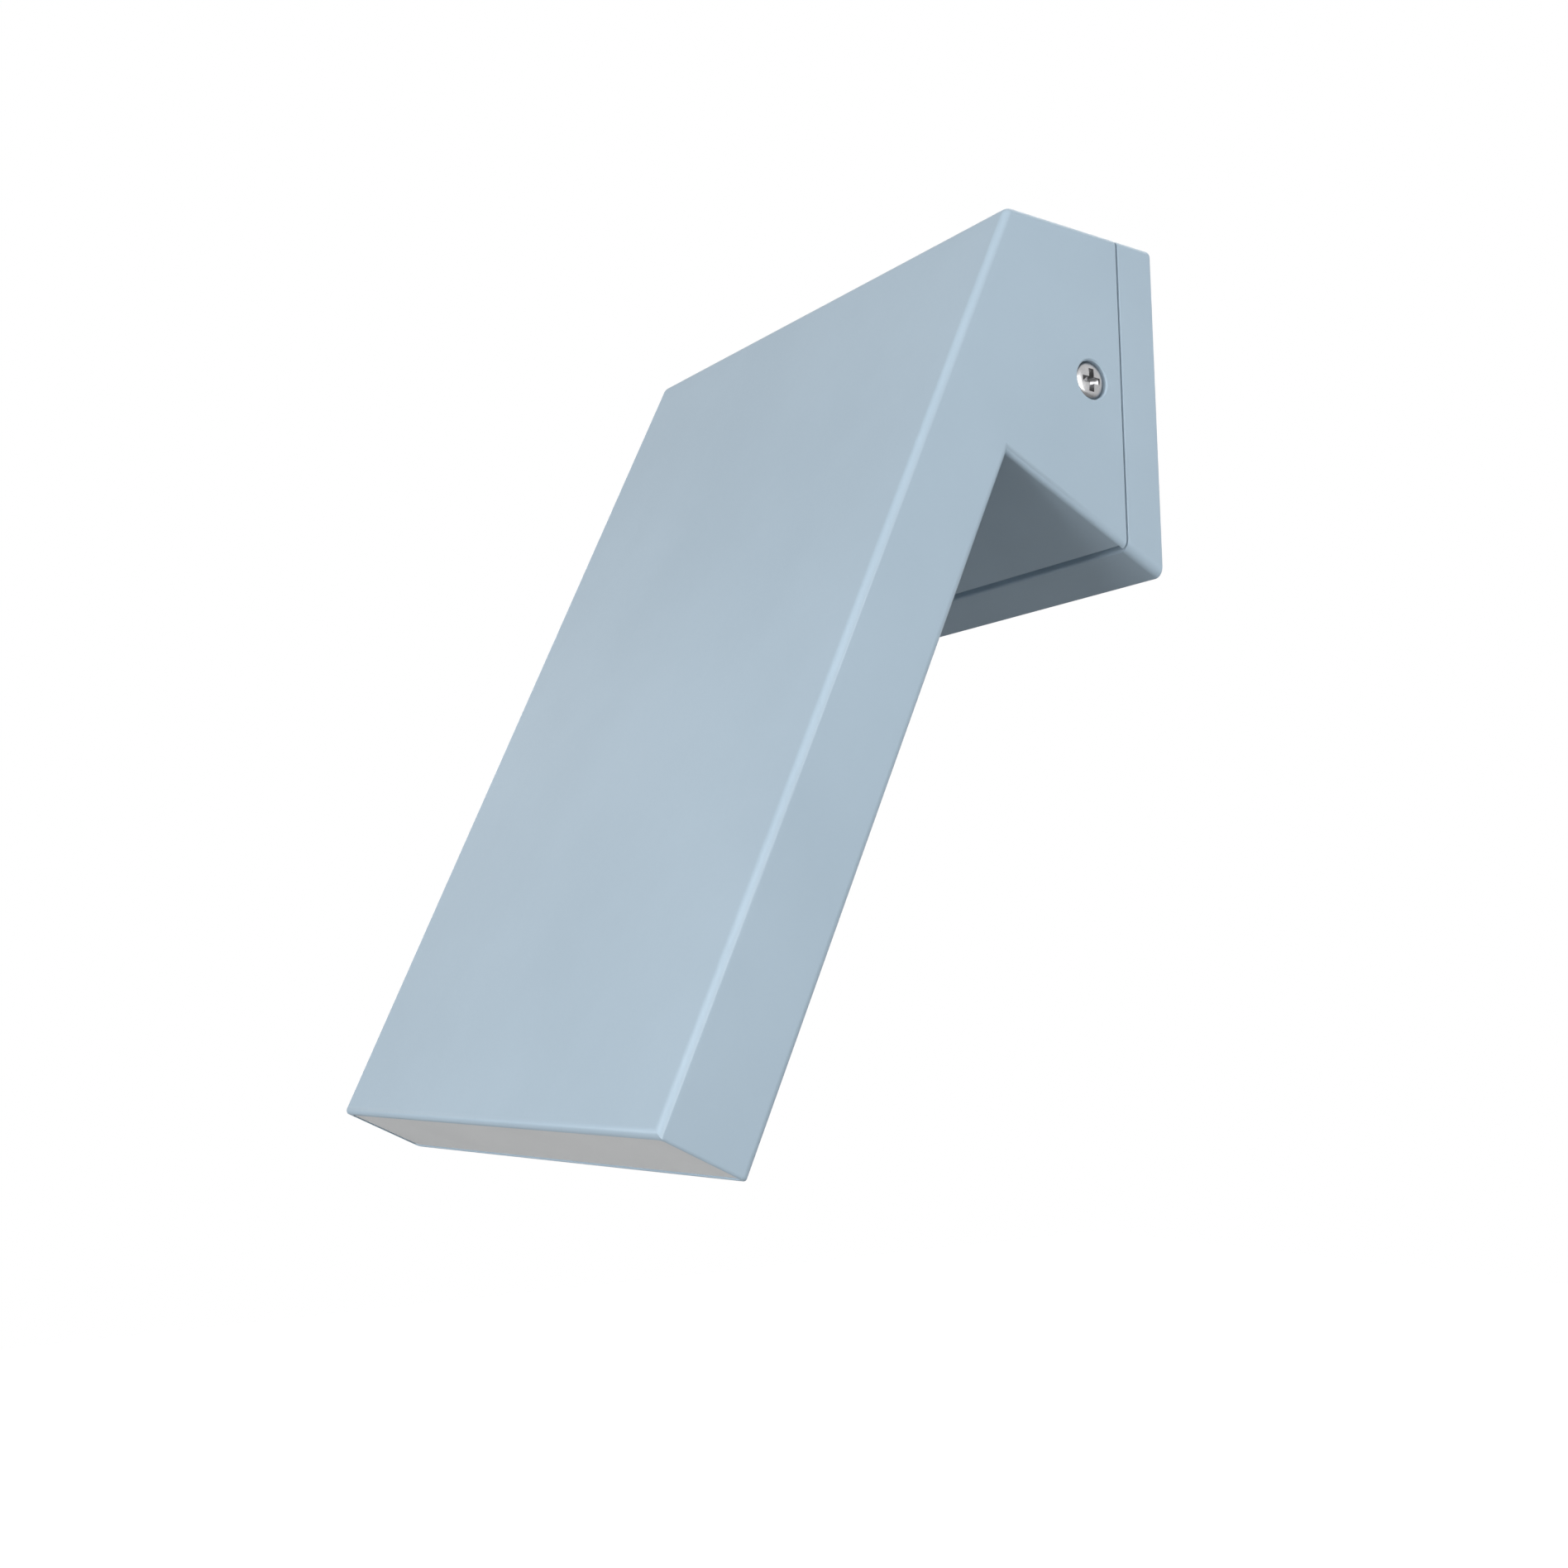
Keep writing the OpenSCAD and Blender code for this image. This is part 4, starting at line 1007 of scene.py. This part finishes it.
def cover_screw_set():
    """Four countersunk screws in the cover."""
    neck = COVER_HEAD_H + 0.1
    rings = thread(SMALL_R, COVER_SCREW_LEN, SMALL_PITCH, neck)
    rings += [(SMALL_R, -neck), (SMALL_R, -COVER_HEAD_H), (COVER_HEAD_R, -0.12), (COVER_HEAD_R, -0.04),
              (COVER_HEAD_R - 0.05, 0)]
    first = turned("cover_screw", rings, 40)
    cross_recess(first, reach=1.6, width=0.75, deep=1.15)
    spots = [(x, ARM_T, z) for z in COVER_SCREW_Z for x in both(COVER_SCREW_X)]
    for number, spot in enumerate(spots):
        screw = copy_of(first, "cover_screw_" + str(number + 1))
        put(screw, spot, BACK)
        lean(screw)
        smooth(screw)
        give(screw, "stainless", "lamp", "cover_screws")
    bpy.data.objects.remove(first)


def grommet():
    """The cable's grommet: flush with the wall, a lip inside, and a nose in steps that is cut to suit."""
    neck = GROMMET_HOLE_R - SLIDE_GAP
    lip = neck + GROMMET_LIP_W
    body = [(neck - 0.5, 0), (neck, 0.5), (neck, PLATE_T)]
    flange = [(lip - 0.4, 3.02), (lip, 3.4), (lip, 4.2), (lip - 0.4, 4.7), (8.2, 4.8)]
    nose = [(7.3, 4.82), (6.9, 5.0), (6.6, 5.3), (6.2, 5.9), (6.2, 6.3), (5.6, 6.5), (5.6, 7.1), (5.0, 7.3),
            (4.9, 7.8), (4.6, 8.0)]
    piece = turned("grommet_moulding", body + flange + nose, 64)
    bore = [(5.2, -CUT), (4.6, 0), (CABLE_R, 0.8), (CABLE_R, 2.0), (4.6, 2.6), (4.6, 7.0), (CABLE_R, 7.5),
            (CABLE_R, 8 + CUT)]
    cut(piece, turned("bore", bore, 48))
    put(piece, (0, 0, 0), FRONT)
    smooth(piece)
    give(piece, "black_rubber", "bracket", "cable_grommet")


def gasket_strip():
    """The foam strip round the bracket's back, crowned, with a butt joint at the bottom."""
    inset = RIM_W + GASKET_GAP
    strip = flat_ring("gasket_strip", HALF_W - inset, -TOP_Z + inset, TOP_Z - inset,
                      GASKET_W - 2 * GASKET_GAP, -GASKET_T, 0)
    editing(strip)
    pick(strip, "edges", lambda e: lies_at(e, Y, 0) and e.calc_face_angle() > 0.5)
    bevel(GASKET_CROWN, 4)
    done()
    cut(strip, block("joint", (GASKET_JOINT_X - GASKET_JOINT_W, -GASKET_T - CUT, -TOP_Z),
                     (GASKET_JOINT_X, CUT, -TOP_Z / 2)))
    smooth(strip, 40)
    give(strip, "grey_rubber", "bracket", "wall_gasket")


def driver_box(name, low_y, high_y, inset=0.0, radius=DRIVER_CORNER_R):
    """A block of the driver's outline with rounded corners, set in from it if need be."""
    half = DRIVER_LEN / 2 - inset
    reach = DRIVER_W / 2 - inset
    return rounded_block(name, (-half, low_y, DRIVER_Z - reach), (half, high_y, DRIVER_Z + reach),
                         radius, Y, 4)


def driver_form():
    """The driver's tray and lid with a parting line, a bare label field and two tabs."""
    back = WALL + DRIVER_H
    case = driver_box("driver_case", WALL, PARTING_Y)
    neck = driver_box("neck", PARTING_Y - CUT, PARTING_Y + CUT, PARTING_DEEP, DRIVER_CORNER_R - PARTING_DEEP)
    lid = driver_box("lid", PARTING_Y + PARTING_W, back)
    editing(lid)
    pick(lid, "edges", lambda e: lies_at(e, Y, back))
    bevel(LID_EDGE_R, 3)
    done()
    add(case, neck)
    add(case, lid)
    cut(case, driver_box("field", back - FIELD_DEEP, back + CUT, FIELD_INSET, FIELD_CORNER_R))
    tab = TAB_LEN / 2
    add(case, rounded_block("tabs", (-DRIVER_TAB_X - tab, WALL + LAND_H, DRIVER_Z - tab),
                            (DRIVER_TAB_X + tab, WALL + LAND_H + TAB_T, DRIVER_Z + tab), TAB_CORNER_R, Y, 4))
    return case


def driver_case():
    """The driver with the collars of its wires, its screw holes and the lid's catches."""
    case = driver_form()
    low = DRIVER_Z - DRIVER_W / 2
    high = DRIVER_Z + DRIVER_W / 2
    catch_y = PARTING_Y + CATCH_RISE
    wires = [(x, high, 1) for x in MAINS_WIRE_X] + [(x, low, -1) for x in LAMP_WIRE_X]
    collar = [(1.9, -2), (1.9, 0.5), (1.75, 0.8), (1.4, 1.0)]
    for x, end, way in wires:
        add(case, put(turned("collar", collar, 32), (x, DRIVER_WIRE_Y, end), (0, 0, way)))
    bore_r = WIRE_R + SLIDE_GAP
    mouth_r = bore_r + 0.2
    bore = [(bore_r, -3), (bore_r, 0.7), (mouth_r, 1.0), (mouth_r + CUT, 1.0 + CUT)]
    holes = [put(turned("bore", bore, 24), (x, DRIVER_WIRE_Y, end), (0, 0, way)) for x, end, way in wires]
    tab_hole_r = SMALL_R + SLIDE_GAP
    tab_hole = [(tab_hole_r, -CUT), (tab_hole_r, TAB_T - BROKEN_EDGE), (tab_hole_r + BROKEN_EDGE, TAB_T),
                (tab_hole_r + BROKEN_EDGE + CUT, TAB_T + CUT)]
    holes += [put(turned("bore", tab_hole, 32), (x, WALL + LAND_H, DRIVER_Z), BACK)
              for x in both(DRIVER_TAB_X)]
    for x in both(CATCH_X):
        for end, way in ((high, 1), (low, -1)):
            inner, outer = sorted((end - way * CATCH_DEEP, end + way * CUT))
            holes.append(block("catch", (x - CATCH_HALF_W, catch_y, inner),
                               (x + CATCH_HALF_W, catch_y + CATCH_H, outer)))
    cut(case, *holes)
    lean(case)
    smooth(case)
    give(case, "white_plastic", "lamp", "driver")


def dress_frame():
    """Softens the edges of the parts that stay from the frame, and gives them their finish."""
    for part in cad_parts.values():
        if part.hide_render:
            continue
        slot = part.data.materials[0].name
        part.data.materials[0] = FINISHES[slot]
        weld = part.modifiers.new("weld", "WELD")
        weld.merge_threshold = FRAME_MERGE * MM
        if slot.endswith("_wire"):
            round_off = part.modifiers.new("round", "SUBSURF")
            round_off.levels = round_off.render_levels = 1
            continue
        flat = part.modifiers.new("flat", "DECIMATE")
        flat.decimate_type = "DISSOLVE"
        flat.angle_limit = FRAME_FLAT
        edge = part.modifiers.new("edge", "BEVEL")
        edge.width = FRAME_EDGE * MM
        edge.segments = 2
        edge.limit_method = "ANGLE"
        edge.angle_limit = FRAME_SHARP
        part.modifiers.new("weights", "WEIGHTED_NORMAL")


housing_shell()
bracket_shell()
diffuser_plate()
cover_plate()
side_screws()
clamp_nuts()
cover_screw_set()
grommet()
gasket_strip()
driver_case()
dress_frame()


# The camera, at the photograph's place, and the studio

CAMERA_SPOT = (326.0, -284.2, -125.3)
CAMERA_TARGET = (0.0, -51.1, -74.4)
CAMERA_ROLL = -0.87
LENS = 42.76
SENSOR = 36

# What the lamps point at
MIDDLE = (0, -60, -60)

# The white surroundings as light on the part, and the floor's share of its white in the part's gloss
WORLD_LIGHT = 0.01
FLOOR_IN_GLOSS = 0.25
STUDIO_FLOOR_Z = -800


def look(thing, spot, target, roll=0.0):
    """Points a lamp or a camera from one place at another, and rolls it by some degrees."""
    spot, target = Vector(spot) * MM, Vector(target) * MM
    aim = (target - spot).to_track_quat("-Z", "Y").to_matrix().to_4x4()
    thing.matrix_world = Matrix.Translation(spot) @ aim @ Matrix.Rotation(math.radians(roll), 4, "Z")


def camera():
    seen = bpy.data.cameras.new("camera")
    seen.sensor_width = SENSOR
    seen.lens = LENS
    seen.clip_start = 0.01
    made = bpy.data.objects.new("camera", seen)
    bpy.context.collection.objects.link(made)
    look(made, CAMERA_SPOT, CAMERA_TARGET, CAMERA_ROLL)
    bpy.context.scene.camera = made


def softbox(name, spot, size, watts):
    """A square lamp, its side in metres, that points at the part's middle."""
    lamp = bpy.data.lights.new(name, "AREA")
    lamp.shape = "RECTANGLE"
    lamp.size = lamp.size_y = size
    lamp.energy = watts
    made = bpy.data.objects.new(name, lamp)
    bpy.context.collection.objects.link(made)
    look(made, spot, MIDDLE)


def seen_white(made, as_light, in_gloss):
    """How strong a background is: 1 where the camera sees it, and less in gloss or glass and as light."""
    path = node(made, "ShaderNodeLightPath")
    mirror = node(made, "ShaderNodeMath")
    mirror.operation = "MAXIMUM"
    link(made, path, "Is Glossy Ray", mirror, 0)
    link(made, path, "Is Transmission Ray", mirror, 1)
    unseen = node(made, "ShaderNodeMapRange", To_Min=as_light, To_Max=in_gloss)
    link(made, mirror, "Value", unseen, "Value")
    strength = node(made, "ShaderNodeMath")
    strength.operation = "MAXIMUM"
    link(made, unseen, "Result", strength, 0)
    link(made, path, "Is Camera Ray", strength, 1)
    return strength


def white_world():
    world = bpy.data.worlds.new("studio")
    bpy.context.scene.world = world
    world.use_nodes = True
    sky = world.node_tree.nodes["Background"]
    sky.inputs["Color"].default_value = (1, 1, 1, 1)
    link(world, seen_white(world, WORLD_LIGHT, 1.0), "Value", sky, "Strength")


def pale_floor():
    """A floor far below the part, white to the camera."""
    bpy.ops.mesh.primitive_plane_add(size=8, location=(0, 0, STUDIO_FLOOR_Z * MM))
    floor = bpy.context.object
    floor.name = "floor"
    pale = bpy.data.materials.new("pale floor")
    pale.use_nodes = True
    shader = pale.node_tree.nodes["Principled BSDF"]
    shader.inputs["Base Color"].default_value = srgb(188, 188, 188)
    shader.inputs["Roughness"].default_value = 0.9
    shader.inputs["Emission Color"].default_value = (1, 1, 1, 1)
    link(pale, seen_white(pale, 0.0, FLOOR_IN_GLOSS), "Value", shader, "Emission Strength")
    floor.data.materials.append(pale)


camera()
white_world()
pale_floor()
# Each lamp's place, its side in metres and its power in watts
softbox("front", (0, -1300, -200), 0.8, 11.7)
softbox("right", (1000, -100, 60), 0.5, 6.1)
softbox("edge", (500, -560, 280), 0.4, 1.3)
softbox("left", (-1000, 160, 160), 0.5, 2.6)
softbox("rear", (-500, 1100, 100), 1.0, 0.7)
softbox("rear high", (-200, 650, 1100), 0.8, 3.6)

bpy.context.scene.view_settings.view_transform = "Standard"
